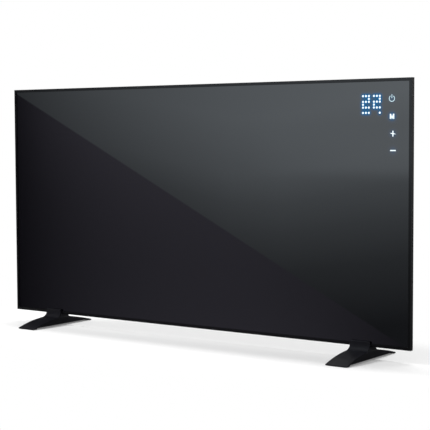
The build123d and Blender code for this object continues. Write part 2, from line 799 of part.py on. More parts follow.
def display_carrier():
    """Black mask stuck to the glass, with a light well for each dot and key."""
    plate = slab(
        RectangleRounded(CARRIER_WIDTH, CARRIER_HEIGHT, 4), GLASS_BACK_Y, CARRIER_BACK_Y,
        CARRIER_X, CARRIER_Z,
    )
    well = Rectangle(WELL_WIDTH, WELL_HEIGHT)
    holes = [slab(well, GLASS_BACK_Y, CARRIER_BACK_Y, x, z) for x, z in dot_points()]
    holes += [
        rod_y(x, z, SPRING_RADIUS + SLIDE_GAP, GLASS_BACK_Y, CARRIER_BACK_Y)
        for x, z in touch_key_points()
    ]
    holes += [
        rod_y(x, z, BOARD_SCREW_RADIUS, GLASS_BACK_Y + 1, CARRIER_BACK_Y)
        for x, z in display_screw_points()
    ]
    return plate - holes


def display_leds():
    """Light-emitting packages, one in each well."""
    size = (LED_WIDTH, LED_HEIGHT, LED_WIDTH)
    return [
        centred_block(x, z, size, CARRIER_BACK_Y - LED_HEIGHT)
        for x, z in dot_points() + touch_key_points()
    ]


def touch_springs():
    """Conductive sleeves that carry the touch of a key from the glass to the board."""
    sleeve = Circle(SPRING_RADIUS) - Circle(SPRING_RADIUS - SPRING_WALL)
    return [slab(sleeve, GLASS_BACK_Y, CARRIER_BACK_Y, x, z) for x, z in touch_key_points()]


def display_board():
    """Printed board behind the mask."""
    outline = RectangleRounded(
        CARRIER_WIDTH - 2 * DISPLAY_BOARD_MARGIN, CARRIER_HEIGHT - 2 * DISPLAY_BOARD_MARGIN, 2
    )
    board = slab(outline, CARRIER_BACK_Y, DISPLAY_BOARD_BACK_Y, CARRIER_X, CARRIER_Z)
    return board - [
        rod_y(x, z, BOARD_SCREW_RADIUS + SLIDE_GAP, CARRIER_BACK_Y, DISPLAY_BOARD_BACK_Y)
        for x, z in display_screw_points()
    ]


def display_board_screws():
    """Screws of the display board."""
    return [
        headed_screw(
            x, z, DISPLAY_BOARD_BACK_Y, BOARD_SCREW_RADIUS, BOARD_SHEET + CARRIER_THICKNESS - 1,
            BOARD_SCREW_HEAD_RADIUS, BOARD_SCREW_HEAD_HEIGHT,
        )
        for x, z in display_screw_points()
    ]


def touch_chip():
    """Touch controller on the back of the display board."""
    return centred_block(CARRIER_X, CARRIER_Z + CHIP_SIZE[2], CHIP_SIZE, DISPLAY_BOARD_BACK_Y)


# Control box: tray, boards and cover


def box_screw_points():
    """Long screws at the corners of the control box."""
    return corners(
        BOX_WIDTH - 2 * BOX_SCREW_INSET, BOX_HEIGHT - 2 * BOX_SCREW_INSET, BOX_X, BOX_Z
    )


def power_board_size():
    """Width and height of the power board, from the tray's well."""
    wall = 2 * (TRAY_WALL + SEAT_GAP + POWER_BOARD_GAP)
    return WELL_OUTER_WIDTH - wall, WELL_OUTER_HEIGHT - wall


def power_screw_points():
    """Screws of the power board, over the tray's standoffs."""
    width, height = power_board_size()
    inset = 2 * POWER_BOARD_SCREW_INSET
    return corners(width - inset, height - inset, BOX_X, BOX_Z)


def tray_window():
    """Centre of the window in the tray's floor that the boards' connector passes."""
    return BOX_X, CARRIER_Z - CARRIER_HEIGHT / 2 + DISPLAY_BOARD_MARGIN + TRAY_WINDOW_RISE


def control_tray():
    """Moulded tray in the rear cover's opening, with standoffs for the power board."""
    width = WELL_OUTER_WIDTH - 2 * SEAT_GAP
    height = WELL_OUTER_HEIGHT - 2 * SEAT_GAP
    radius = TRAY_CORNER_RADIUS
    flange = RectangleRounded(BOX_WIDTH, BOX_HEIGHT, BOX_CORNER_RADIUS)
    tray = slab(RectangleRounded(width, height, radius + TRAY_WALL), TRAY_FLOOR_Y, TRAY_BACK_Y,
                BOX_X, BOX_Z)
    tray += slab(flange, BACK_Y, TRAY_BACK_Y, BOX_X, BOX_Z)
    inside = RectangleRounded(width - 2 * TRAY_WALL, height - 2 * TRAY_WALL, radius)
    tray -= slab(inside, TRAY_INSIDE_Y, TRAY_BACK_Y, BOX_X, BOX_Z)
    for x, z in power_screw_points():
        tray += rod_y(x, z, STANDOFF_RADIUS, TRAY_INSIDE_Y, POWER_BOARD_Y)
        tray -= rod_y(x, z, BOARD_SCREW_RADIUS, TRAY_INSIDE_Y, POWER_BOARD_Y)
    for x, z in box_screw_points():
        tray -= rod_y(x, z, BOX_SCREW_RADIUS + SLIDE_GAP, BACK_Y, TRAY_BACK_Y)
    x, z = tray_window()
    window = Rectangle(
        CONNECTOR_WIDTH + 2 * TRAY_WINDOW_MARGIN, CONNECTOR_HEIGHT + 2 * TRAY_WINDOW_MARGIN
    )
    tray -= slab(window, TRAY_FLOOR_Y, TRAY_INSIDE_Y, x, z)
    radius = LEAD_RADIUS + SEAT_GAP
    for x, z in side_entries():
        tray -= Pos(x, LEAD_Y, z) * Rot(0, 90, 0) * Cylinder(radius, 4 * TRAY_WALL)
    for x, z in lower_entries():
        tray -= Pos(x, LEAD_Y, z) * Cylinder(radius, 4 * TRAY_WALL)
    return tray


def power_board():
    """Printed board with the mains parts."""
    width, height = power_board_size()
    board = slab(RectangleRounded(width, height, 2), POWER_BOARD_Y, POWER_FACE_Y, BOX_X, BOX_Z)
    for x, z in power_screw_points():
        board -= rod_y(x, z, BOARD_SCREW_RADIUS + SLIDE_GAP, POWER_BOARD_Y, POWER_FACE_Y)
    return board


def power_board_screws():
    """Screws of the power board."""
    return [
        headed_screw(
            x, z, POWER_FACE_Y, BOARD_SCREW_RADIUS, BOARD_SHEET + STANDOFF_HEIGHT - 1,
            BOARD_SCREW_HEAD_RADIUS, BOARD_SCREW_HEAD_HEIGHT,
        )
        for x, z in power_screw_points()
    ]


def on_board(across, up):
    """Place on the power board as a share of its half width and half height."""
    width, height = power_board_size()
    return BOX_X + across * width / 2, BOX_Z + up * height / 2


def power_relays():
    """Two relays that switch the film."""
    return [
        centred_block(*on_board(across, -0.42), RELAY_SIZE, POWER_FACE_Y)
        for across in (-0.15, 0.3)
    ]


def power_transformer():
    """Ferrite transformer: a wound bobbin between the halves of its core."""
    x, z = on_board(-0.3, 0.25)
    across, out, up = TRANSFORMER_SIZE
    core = centred_block(x, z, (across, out, up * 0.45), POWER_FACE_Y)
    bobbin = centred_block(x, z, (across * 0.7, out * 0.8, up), POWER_FACE_Y)
    return core + bobbin


def power_capacitors():
    """Electrolytic capacitors beside the transformer."""
    pieces = []
    for across, up in ((0.25, 0.4), (0.25, 0.18)):
        x, z = on_board(across, up)
        can = rod_y(x, z, CAPACITOR_RADIUS, POWER_FACE_Y, POWER_FACE_Y + CAPACITOR_HEIGHT)
        pieces.append(chamfer(can.faces().sort_by(Axis.Y)[-1].edges(), CAPACITOR_EDGE))
    return pieces


def terminal_block():
    """Screw terminals for the supply, with an entry and a screw well in each way."""
    x, z = on_board(-0.25, -0.8)
    width, out, up = TERMINAL_SIZE
    body = centred_block(x, z, TERMINAL_SIZE, POWER_FACE_Y)
    pitch = width / TERMINAL_WAYS
    for way in range(TERMINAL_WAYS):
        way_x = x - width / 2 + pitch * (way + 0.5)
        body -= rod_y(way_x, z, pitch * 0.3, POWER_FACE_Y + out / 2, POWER_FACE_Y + out)
        body -= rod_z(way_x, POWER_FACE_Y + out * 0.3, pitch * 0.28, z - up / 2, z - up / 4)
    return body


def fuse():
    """Glass cartridge fuse in a pair of clips."""
    x, z = on_board(0.62, -0.75)
    y = POWER_FACE_Y + FUSE_RADIUS + FUSE_CLIP_WALL
    tube = Pos(x, y, z) * Rot(0, 90, 0) * Cylinder(FUSE_RADIUS, FUSE_LENGTH)
    for side in (-1, 1):
        clip_x = x + side * (FUSE_LENGTH / 2 - FUSE_CLIP_INSET)
        size = (FUSE_CLIP_LENGTH, y - POWER_FACE_Y, 2 * (FUSE_RADIUS + FUSE_CLIP_WALL))
        tube += centred_block(clip_x, z, size, POWER_FACE_Y)
    return tube


def tilt_switch():
    """Capsule that opens the circuit if the heater falls over."""
    x, z = on_board(0.72, -0.1)
    capsule = rod_z(x, POWER_FACE_Y + TILT_RADIUS, TILT_RADIUS, z - TILT_HEIGHT / 2, z + TILT_HEIGHT / 2)
    foot = centred_block(x, z, (TILT_RADIUS, TILT_RADIUS, TILT_HEIGHT), POWER_FACE_Y)
    return capsule + foot


def buzzer():
    """Round sounder with a hole in its face."""
    x, z = on_board(-0.75, 0.8)
    top = POWER_FACE_Y + BUZZER_HEIGHT
    can = rod_y(x, z, BUZZER_RADIUS, POWER_FACE_Y, top)
    return can - rod_y(x, z, BUZZER_HOLE_RADIUS, top - BUZZER_HOLE_DEPTH, top)


def room_sensor():
    """Thermistor bead in a holder by the lower vents."""
    x, z = on_board(0.75, -0.42)
    out = 4 * SENSOR_RADIUS
    holder = centred_block(x, z, (SENSOR_HOLDER_WIDTH, out, SENSOR_HOLDER_HEIGHT), POWER_FACE_Y)
    bead = rod_y(x, z, SENSOR_RADIUS, POWER_FACE_Y + out, POWER_FACE_Y + out + SENSOR_LENGTH)
    return holder + bead


def board_connectors():
    """Header and socket that join the two boards through the tray's window."""
    x, z = tray_window()
    middle = DISPLAY_BOARD_BACK_Y + CONNECTOR_SPLIT
    header = (CONNECTOR_WIDTH, CONNECTOR_SPLIT, CONNECTOR_HEIGHT)
    socket = (CONNECTOR_WIDTH, POWER_BOARD_Y - middle, CONNECTOR_HEIGHT)
    return [
        centred_block(x, z, header, DISPLAY_BOARD_BACK_Y),
        centred_block(x, z, socket, middle),
    ]


def control_box_cover():
    """Moulded cover with a vented back, bosses at its corners, and holes for gland and switch."""
    outer = RectangleRounded(BOX_WIDTH, BOX_HEIGHT, BOX_CORNER_RADIUS)
    inner = RectangleRounded(
        BOX_WIDTH - 2 * BOX_WALL, BOX_HEIGHT - 2 * BOX_WALL, BOX_CORNER_RADIUS - BOX_WALL
    )
    cover = slab(outer, TRAY_BACK_Y, BOX_BACK_Y, BOX_X, BOX_Z)
    cover = fillet(cover.faces().sort_by(Axis.Y)[-1].edges(), BOX_EDGE_RADIUS)
    cover -= slab(inner, TRAY_BACK_Y, BOX_BACK_Y - BOX_WALL, BOX_X, BOX_Z)
    for x, z in box_screw_points():
        cover += rod_y(x, z, BOX_BOSS_RADIUS, TRAY_BACK_Y, BOX_BACK_Y - BOX_WALL)
    for x, z in box_screw_points():
        seat = BOX_BACK_Y - BOX_SCREW_HEAD_HEIGHT
        cover -= rod_y(x, z, BOX_SCREW_RADIUS + SLIDE_GAP, TRAY_BACK_Y, seat)
        cover -= rod_y(x, z, BOX_SCREW_HEAD_RADIUS + SLIDE_GAP, seat, BOX_BACK_Y)
    cover -= vent_slots()
    gland_x, gland_y = gland_place()
    cover -= rod_z(gland_x, gland_y, GLAND_THREAD_RADIUS + SLIDE_GAP, BOX_BOTTOM, BOX_BOTTOM + BOX_WALL)
    cover -= block(
        (BOX_RIGHT - BOX_WALL, BOX_RIGHT),
        (BOX_MIDDLE_Y - SWITCH_SHORT / 2 - SLIDE_GAP, BOX_MIDDLE_Y + SWITCH_SHORT / 2 + SLIDE_GAP),
        (PIVOT_Z - SWITCH_LONG / 2 - SLIDE_GAP, PIVOT_Z + SWITCH_LONG / 2 + SLIDE_GAP),
    )
    return cover


def vent_slots():
    """Two rows of slots in the back of the control box."""
    slots = []
    for row in range(VENT_ROWS):
        z = BOX_TOP - VENT_DROP - row * VENT_ROW_PITCH
        for k in range(VENT_SLOTS):
            x = BOX_X + (k - (VENT_SLOTS - 1) / 2) * VENT_PITCH
            slot = SlotOverall(VENT_SLOT_LENGTH, VENT_SLOT_WIDTH, rotation=90)
            slots.append(slab(slot, BOX_BACK_Y - BOX_WALL, BOX_BACK_Y, x, z))
    return slots


def control_box_screws():
    """Long screws through the box's bosses and the tray into the rear cover."""
    seat = BOX_BACK_Y - BOX_SCREW_HEAD_HEIGHT
    return [
        headed_screw(
            x, z, seat, BOX_SCREW_RADIUS, seat - COVER_INSIDE_Y + COVER_SHEET,
            BOX_SCREW_HEAD_RADIUS, BOX_SCREW_HEAD_HEIGHT * 0.9,
        )
        for x, z in box_screw_points()
    ]


# Cable gland


def gland_place():
    """Axis of the gland, in X and Y."""
    return BOX_LEFT + GLAND_LEFT_INSET, BOX_MIDDLE_Y


def hexagon(radius, x, y, z0, z1):
    """Hexagonal prism along Z."""
    start = Plane(origin=(x, y, z0), x_dir=(1, 0, 0), z_dir=(0, 0, 1))
    return extrude(start * RegularPolygon(radius, 6), amount=z1 - z0)


def cable_gland():
    """Gland body: threaded neck through the box's floor, hexagon outside, collet below."""
    x, y = gland_place()
    seat = BOX_BOTTOM
    low, top = collet_end(), seat + BOX_WALL + GLAND_INSIDE
    body = hexagon(GLAND_HEX_RADIUS, x, y, seat - GLAND_FLANGE, seat)
    body += rod_z(x, y, GLAND_THREAD_RADIUS, seat, top)
    body += rod_z(x, y, CORD_RADIUS + 2 * GLAND_WALL, low, seat - GLAND_FLANGE)
    body -= rod_z(x, y, CORD_RADIUS + GLAND_WALL, low, seat - GROMMET_LIP)
    return body - rod_z(x, y, GLAND_THROAT_RADIUS, seat - GROMMET_LIP, top)


def collet_end():
    """Height of the lower end of the collet and of the rubber sleeve in it."""
    return BOX_BOTTOM - GLAND_FLANGE - GLAND_CAP_HEIGHT + 2 * GLAND_WALL


def gland_grommet():
    """Rubber sleeve inside the gland that grips the cord, with a lip in the gland's throat."""
    x, y = gland_place()
    shoulder = BOX_BOTTOM - GROMMET_LIP
    sleeve = rod_z(x, y, CORD_RADIUS + GLAND_WALL, collet_end(), shoulder)
    sleeve += rod_z(x, y, GLAND_THROAT_RADIUS - SLIDE_GAP, shoulder, BOX_BOTTOM)
    return sleeve - rod_z(x, y, CORD_RADIUS, collet_end(), BOX_BOTTOM)


def gland_nut():
    """Lock nut inside the box."""
    x, y = gland_place()
    low = BOX_BOTTOM + BOX_WALL
    nut = hexagon(GLAND_HEX_RADIUS, x, y, low, low + GLAND_NUT_THICKNESS)
    return nut - rod_z(x, y, GLAND_THREAD_RADIUS, low, low + GLAND_NUT_THICKNESS)


def gland_cap():
    """Domed cap nut that closes the collet round the cord."""
    x, y = gland_place()
    top = BOX_BOTTOM - GLAND_FLANGE
    low = top - GLAND_CAP_HEIGHT
    mouth = CORD_RADIUS + GLAND_WALL
    inner = CORD_RADIUS + 2 * GLAND_WALL
    shoulder = top - GLAND_CAP_HEIGHT * 0.55
    outline = Polyline(
        (inner, top),
        (GLAND_CAP_RADIUS, top),
        (GLAND_CAP_RADIUS, shoulder),
        (mouth + GLAND_WALL, low),
        (mouth, low),
        (mouth, low + 2 * GLAND_WALL),
        (inner, low + 2 * GLAND_WALL),
        close=True,
    )
    start = Plane(origin=(x, y, 0), x_dir=(1, 0, 0), z_dir=(0, -1, 0))
    return revolve(start * make_face(outline), Axis((x, y, 0), (0, 0, 1)))


# Rocker switch. Its outlines are drawn with local X outwards and local Y up, about the pivot.


def pivot_plane(y):
    """Plane at depth y through the rocker's pivot, with its normal to the front."""
    return facing(y, PIVOT_X, PIVOT_Z)


def switch_body():
    """Snap-in housing with a bevelled bezel and a round-ended pocket for the rocker."""
    half_width = ROCKER_WIDTH / 2 + SLIDE_GAP
    y0, y1 = BOX_MIDDLE_Y - SWITCH_SHORT / 2, BOX_MIDDLE_Y + SWITCH_SHORT / 2
    z0, z1 = PIVOT_Z - SWITCH_LONG / 2, PIVOT_Z + SWITCH_LONG / 2
    housing = block((BOX_RIGHT - SWITCH_DEPTH, BOX_RIGHT), (y0, y1), (z0, z1))
    edge_long = (SWITCH_BEZEL_LONG - SWITCH_LONG) / 2
    edge_short = (SWITCH_BEZEL_SHORT - SWITCH_SHORT) / 2
    bezel = block(
        (BOX_RIGHT, BOX_RIGHT + SWITCH_BEZEL),
        (y0 - edge_short, y1 + edge_short),
        (z0 - edge_long, z1 + edge_long),
    )
    bezel = chamfer(bezel.faces().sort_by(Axis.X)[-1].edges(), SWITCH_BEZEL * 0.3)
    room = Circle(ROCKER_RADIUS + SLIDE_GAP)
    room &= Pos(ROCKER_RADIUS - ROCKER_POCKET_FLOOR + 1, 0) * Rectangle(
        2 * ROCKER_RADIUS + 2, 2 * ROCKER_RADIUS + 2
    )
    pocket = extrude(pivot_plane(BOX_MIDDLE_Y + half_width) * room, amount=2 * half_width)
    pin_half = ROCKER_WIDTH / 2 + ROCKER_PIN_LENGTH + SLIDE_GAP
    pin_hole = extrude(
        pivot_plane(BOX_MIDDLE_Y + pin_half) * Circle(ROCKER_PIN_RADIUS + PIN_GAP),
        amount=2 * pin_half,
    )
    return housing + bezel - pocket - pin_hole


def switch_rocker():
    """Rocker with a shallow V face and two pivot pins, its upper half pressed in."""
    rise = tan(radians(ROCKER_TILT)) * 2 * ROCKER_RADIUS
    reach = 2 * ROCKER_RADIUS
    face = make_face(
        Polyline(
            (-ROCKER_UNDERSIDE, -reach),
            (ROCKER_CREST + rise, -reach),
            (ROCKER_CREST, 0),
            (ROCKER_CREST + rise, reach),
            (-ROCKER_UNDERSIDE, reach),
            close=True,
        )
    )
    outline = Circle(ROCKER_RADIUS) & face
    tilted = Rot(0, 0, ROCKER_TILT) * outline
    rocker = extrude(
        pivot_plane(BOX_MIDDLE_Y + ROCKER_WIDTH / 2) * tilted, amount=ROCKER_WIDTH
    )
    pin_half = ROCKER_WIDTH / 2 + ROCKER_PIN_LENGTH
    pin = extrude(
        pivot_plane(BOX_MIDDLE_Y + pin_half) * Circle(ROCKER_PIN_RADIUS), amount=2 * pin_half
    )
    return rocker + pin


def switch_terminals():
    """Blades behind the switch."""
    back = BOX_RIGHT - SWITCH_DEPTH
    return [
        block(
            (back - BLADE_LENGTH, back),
            (BOX_MIDDLE_Y - BLADE_WIDTH / 2, BOX_MIDDLE_Y + BLADE_WIDTH / 2),
            (PIVOT_Z + side * SWITCH_LONG / 3 - BLADE_THICKNESS / 2,
             PIVOT_Z + side * SWITCH_LONG / 3 + BLADE_THICKNESS / 2),
        )
        for side in (-1, 1)
    ]


# Feet


def leg_arc(side, inset=0.0):
    """Upper side of the front leg (-1) or the rear leg (1): local X is Y, local Y is Z."""
    reach, rise = (FRONT_REACH, FRONT_LEG_RISE) if side < 0 else (REAR_REACH, REAR_LEG_RISE)
    far = reach - inset
    neck = PANEL_DEPTH / 2 + SEAT_GAP + FOOT_LIP
    tip, crown = FOOT_TIP_HEIGHT - inset, FOOT_CROWN_HEIGHT - inset
    middle = ((far + neck) / 2, (tip + crown) / 2 + rise)
    points = [(-far, tip), (-middle[0], middle[1]), (-neck, crown)]
    if side > 0:
        points = [(-y, z) for y, z in reversed(points)]
    return ThreePointArc(*points)


def foot_profile(inset):
    """Both legs seen from the side, raised between their pads. An inset gives their hollow."""
    front, rear = leg_arc(-1, inset), leg_arc(1, inset)
    front_tip, rear_tip = front @ 0, rear @ 1
    low = FOOT_UNDERSIDE if inset == 0 else -FRONT_REACH / 10
    under = [(rear_tip.X, low)]
    if inset == 0:
        high = low + FOOT_RELIEF
        rear_pad, front_pad = pad_start(1), -pad_start(-1)
        under += [
            (rear_pad, low), (rear_pad - FOOT_RAMP, high), (front_pad + FOOT_RAMP, high), (front_pad, low),
        ]
    under.append((front_tip.X, low))
    edges = Polyline(rear_tip, *under, front_tip).edges()
    return make_face([front, Line(front @ 1, rear @ 0), rear, *edges])


def neck_blend(side, radius):
    """Start, middle and end of the arc that takes the neck's upright face into a leg."""
    leg = leg_arc(side)
    hub = leg.arc_center
    wall = side * (PANEL_DEPTH / 2 + SEAT_GAP + FOOT_LIP)
    across = wall + side * radius - hub.X
    centre = Vector(wall + side * radius, hub.Y + sqrt((leg.radius + radius) ** 2 - across**2))
    towards_leg = (hub - centre).normalized()
    middle = (towards_leg + Vector(-side, 0)).normalized()
    return [centre + Vector(-side, 0) * radius, centre + middle * radius, centre + towards_leg * radius]


def neck_profile():
    """Neck seen from the side: a front lip, the seat under the panel and a tall rear leg."""
    inner = PANEL_DEPTH / 2 + SEAT_GAP
    outer = inner + FOOT_LIP
    wedge_y = FRAME_BACK_Y + COVER_SHEET + TAPPER_HEAD_HEIGHT + SEAT_GAP
    slope_gap = 3 * SEAT_GAP
    slope_end = COVER_EDGE_INSET + COVER_FLANGE + COVER_SLOPE_INSET
    slope_start = slope_end - COVER_SLOPE_INSET * (BACK_Y - wedge_y) / (BACK_Y - FRAME_BACK_Y)
    low = FOOT_CROWN_HEIGHT - NECK_ROOT
    front, rear = neck_blend(-1, FRONT_BLEND), neck_blend(1, REAR_BLEND)
    top = Polyline(
        rear[0],
        (outer, BOTTOM_Z + FOOT_LEG_HEIGHT),
        (inner, BOTTOM_Z + FOOT_LEG_HEIGHT),
        (inner, BOTTOM_Z + slope_end - slope_gap),
        (wedge_y, BOTTOM_Z + slope_start - slope_gap),
        (wedge_y, BOTTOM_Z),
        (-inner, BOTTOM_Z),
        (-inner, BOTTOM_Z + FOOT_LIP_HEIGHT),
        (-outer, BOTTOM_Z + FOOT_LIP_HEIGHT - FOOT_LIP / 2),
        front[0],
    )
    base = Polyline(front[2], (-outer, low), (outer, low), rear[2])
    return make_face([*top.edges(), ThreePointArc(*front), *base.edges(), ThreePointArc(*reversed(rear))])


def foot_plan(inset):
    """Foot seen from above, a little wider towards its tips."""
    front, rear = inset - FRONT_REACH, REAR_REACH - inset
    middle = (front + rear) / 2
    tip, waist = FOOT_TIP_WIDTH / 2 - inset, FOOT_WAIST_WIDTH / 2 - inset
    edges = [
        ThreePointArc((tip, front), (waist, middle), (tip, rear)),
        Line((tip, rear), (-tip, rear)),
        ThreePointArc((-tip, rear), (-waist, middle), (-tip, front)),
        Line((-tip, front), (tip, front)),
    ]
    return make_face(edges)


def neck_front():
    """Neck seen from the front, flared where it runs into the legs."""
    half = NECK_WIDTH / 2
    wide = FOOT_WAIST_WIDTH / 2 - FOOT_EDGE_RADIUS - SEAT_GAP
    low = FOOT_CROWN_HEIGHT - NECK_ROOT
    start = FOOT_CROWN_HEIGHT
    end = start + NECK_FLARE_HEIGHT
    top = BOTTOM_Z + FOOT_LEG_HEIGHT
    flare = wide - half
    mid_x = half + flare * (1 - cos(pi / 4))
    mid_z = end - NECK_FLARE_HEIGHT * sin(pi / 4)
    edges = [
        Line((-wide, low), (wide, low)),
        Line((wide, low), (wide, start)),
        ThreePointArc((wide, start), (mid_x, mid_z), (half, end)),
        Line((half, end), (half, top)),
        Line((half, top), (-half, top)),
        Line((-half, top), (-half, end)),
        ThreePointArc((-half, end), (-mid_x, mid_z), (-wide, start)),
        Line((-wide, start), (-wide, low)),
    ]
    return make_face(edges)


def side_plane(x):
    """Plane seen from the side: local X is Y and local Y is Z, normal along +X."""
    return Plane(origin=(x, 0, 0), x_dir=(0, 1, 0), z_dir=(1, 0, 0))


def foot():
    """One moulded foot: two arched legs, a ribbed hollow below and a neck that holds the panel."""
    width = FOOT_TIP_WIDTH + 2
    legs = extrude(side_plane(-width / 2) * foot_profile(0), amount=width)
    legs &= extrude(foot_plan(0), amount=FOOT_CROWN_HEIGHT)
    legs = fillet(legs.edges().filter_by(Axis.Z), min(FOOT_CORNER_RADIUS, FOOT_TIP_WIDTH / 4))
    upper_faces = legs.faces().filter_by(lambda face: face.normal_at().Z > 0.5)
    upper_edges = [edge for face in upper_faces for edge in face.edges()]
    rim = [edge for edge in upper_edges if edge not in inner_edges(upper_faces)]
    legs = fillet(rim, min(FOOT_EDGE_RADIUS, 0.8 * (FOOT_TIP_HEIGHT - FOOT_UNDERSIDE)))
    neck = extrude(side_plane(-width / 2) * neck_profile(), amount=width)
    reach = PANEL_DEPTH / 2 + SEAT_GAP + FOOT_LIP
    neck &= slab(neck_front(), -reach - FRONT_BLEND, reach + REAR_BLEND)
    body = legs + neck
    hollow = extrude(side_plane(-width / 2) * foot_profile(FOOT_WALL), amount=width)
    hollow &= extrude(Pos(0, 0, -FRONT_REACH / 10) * foot_plan(FOOT_WALL), amount=FRONT_REACH / 2)
    hollow -= foot_ribs(hollow)
    body -= hollow
    for side in (-1, 1):
        body -= pad_recess(side)
    for side in (-1, 1):
        x = side * FOOT_SCREW_PITCH / 2
        z = BOTTOM_Z + FOOT_SCREW_HEIGHT
        inner = PANEL_DEPTH / 2 + SEAT_GAP
        body -= rod_y(x, z, FOOT_SCREW_RADIUS + SLIDE_GAP, inner, reach)
        body -= rod_y(x, z, NUT_COLLAR_RADIUS + SLIDE_GAP, inner, BACK_Y + NUT_COLLAR + SLIDE_GAP)
    return body


def inner_edges(faces):
    """Edges that two of the faces share."""
    edges = [edge for face in faces for edge in face.edges()]
    return [edge for edge in edges if edges.count(edge) > 1]


def foot_ribs(hollow):
    """Cross ribs and one long rib left standing in the hollow, and solid ends for the pads."""
    size = hollow.bounding_box().size
    low, high = -FRONT_REACH / 10, FOOT_CROWN_HEIGHT
    ribs = [block((-FOOT_RIB / 2, FOOT_RIB / 2), (-size.Y, size.Y), (FOOT_UNDERSIDE + FOOT_RELIEF, high))]
    count = int(FRONT_REACH / FOOT_RIB_PITCH)
    for k in range(-count, count + 1):
        y = k * FOOT_RIB_PITCH
        ribs.append(block((-size.X, size.X), (y - FOOT_RIB / 2, y + FOOT_RIB / 2),
                          (FOOT_UNDERSIDE + FOOT_RELIEF, high)))
    for side in (-1, 1):
        ys = sorted((side * (pad_start(side) - FOOT_RAMP), 2 * side * FRONT_REACH))
        ribs.append(block((-size.X, size.X), ys, (low, high)))
    return ribs


def pad_start(side):
    """Distance of a rubber pad's inner end from the middle of the panel's depth."""
    return (FRONT_REACH if side < 0 else REAR_REACH) - PAD_INSET - PAD_LENGTH


def pad_place(side):
    """Extent of a rubber pad along Y."""
    return sorted((side * pad_start(side), side * (pad_start(side) + PAD_LENGTH)))


def pad_width():
    """Width of a rubber pad."""
    return FOOT_TIP_WIDTH - 2 * PAD_SIDE_GAP


def pad_recess(side):
    """Shallow recess for a rubber pad under the tip of a leg."""
    near, far = pad_place(side)
    half = pad_width() / 2 + SLIDE_GAP
    return block((-half, half), (near - SLIDE_GAP, far + SLIDE_GAP), (0, FOOT_UNDERSIDE + PAD_RECESS))


def foot_pads():
    """Rubber pads that the heater stands on."""
    half = pad_width() / 2
    pads = []
    for foot_x in FOOT_XS:
        for side in (-1, 1):
            pad = block((-half, half), pad_place(side), (0, FOOT_UNDERSIDE + PAD_RECESS))
            pads.append(Pos(foot_x, 0, 0) * pad)
    return pads


def foot_screws():
    """Screws through the feet's rear legs into the rivet nuts."""
    seat = PANEL_DEPTH / 2 + SEAT_GAP + FOOT_LIP
    return [
        headed_screw(
            x, z, seat, FOOT_SCREW_RADIUS, FOOT_LIP + NUT_DEPTH,
            FOOT_SCREW_HEAD_RADIUS, FOOT_SCREW_HEAD_HEIGHT,
        )
        for x, z in foot_nut_points()
    ]


# Leads inside the panel


def side_entries():
    """Where leads enter through the left side of the tray, the lower one first."""
    x = BOX_LEFT + TRAY_FLANGE
    low = BOX_BOTTOM + TRAY_FLANGE + LEAD_ENTRY_RISE
    return [(x, low), (x, low + LEAD_ENTRY_RISE)]


def lower_entries():
    """Where leads enter through the lower edge of the tray, the left one first."""
    z = BOX_BOTTOM + TRAY_FLANGE
    return [(BOX_LEFT + TRAY_FLANGE + LEAD_ENTRY_SIDE / 2, z), (tab_points()[0][0], z)]


def lead(*route):
    """Insulated lead behind the insulation: straight runs and tangent arcs through (x, z)."""
    points = [(x, LEAD_Y, z) for x, z in route]
    path = Line(*points) if len(points) == 2 else FilletPolyline(*points, radius=LEAD_BEND)
    return sweep(Plane(origin=path @ 0, z_dir=path % 0) * Circle(LEAD_RADIUS), path=path)


def ferrule(x, z, across, up):
    """Crimped end that is soldered under the power board."""
    return block(
        (x - across / 2, x + across / 2), (LEAD_Y - LEAD_RADIUS, POWER_BOARD_Y), (z - up / 2, z + up / 2)
    )


def heater_leads():
    """Leads from the busbars and the cut-outs to the power board."""
    (low_tab_x, low_tab_z), (high_tab_x, high_tab_z) = tab_points()
    (cut_x, low_cut_z), (_, high_cut_z) = cutout_points()
    (side_x, side_z), (_, upper_side_z) = side_entries()
    (lower_x, lower_z), (tab_entry_x, _) = lower_entries()
    tab_face = BLADE_THICKNESS / 2
    blade_face = CUTOUT_RADIUS / 2 + BLADE_THICKNESS / 2
    end_x, end_z = side_x + LEAD_INSIDE, lower_z + LEAD_INSIDE
    width = 2 * LEAD_RADIUS
    turn_z = low_cut_z - blade_face - LEAD_DROP
    return [
        lead((low_tab_x, low_tab_z + tab_face), (tab_entry_x, end_z))
        + ferrule(tab_entry_x, end_z, width, FERRULE_LENGTH),
        lead((high_tab_x, high_tab_z - tab_face), (high_tab_x, upper_side_z), (end_x, upper_side_z))
        + ferrule(end_x, upper_side_z, FERRULE_LENGTH, width),
        lead((cut_x, high_cut_z + blade_face), (cut_x, high_cut_z + blade_face + LEAD_DROP),
             (cut_x + 2 * LEAD_DROP, high_cut_z + blade_face + LEAD_DROP),
             (cut_x + 2 * LEAD_DROP, side_z), (end_x, side_z))
        + ferrule(end_x, side_z, FERRULE_LENGTH, width),
        lead((cut_x, high_cut_z - blade_face), (cut_x, low_cut_z + blade_face)),
        lead((cut_x, low_cut_z - blade_face), (cut_x, turn_z), (lower_x, turn_z), (lower_x, end_z))
        + ferrule(lower_x, end_z, width, FERRULE_LENGTH),
    ]


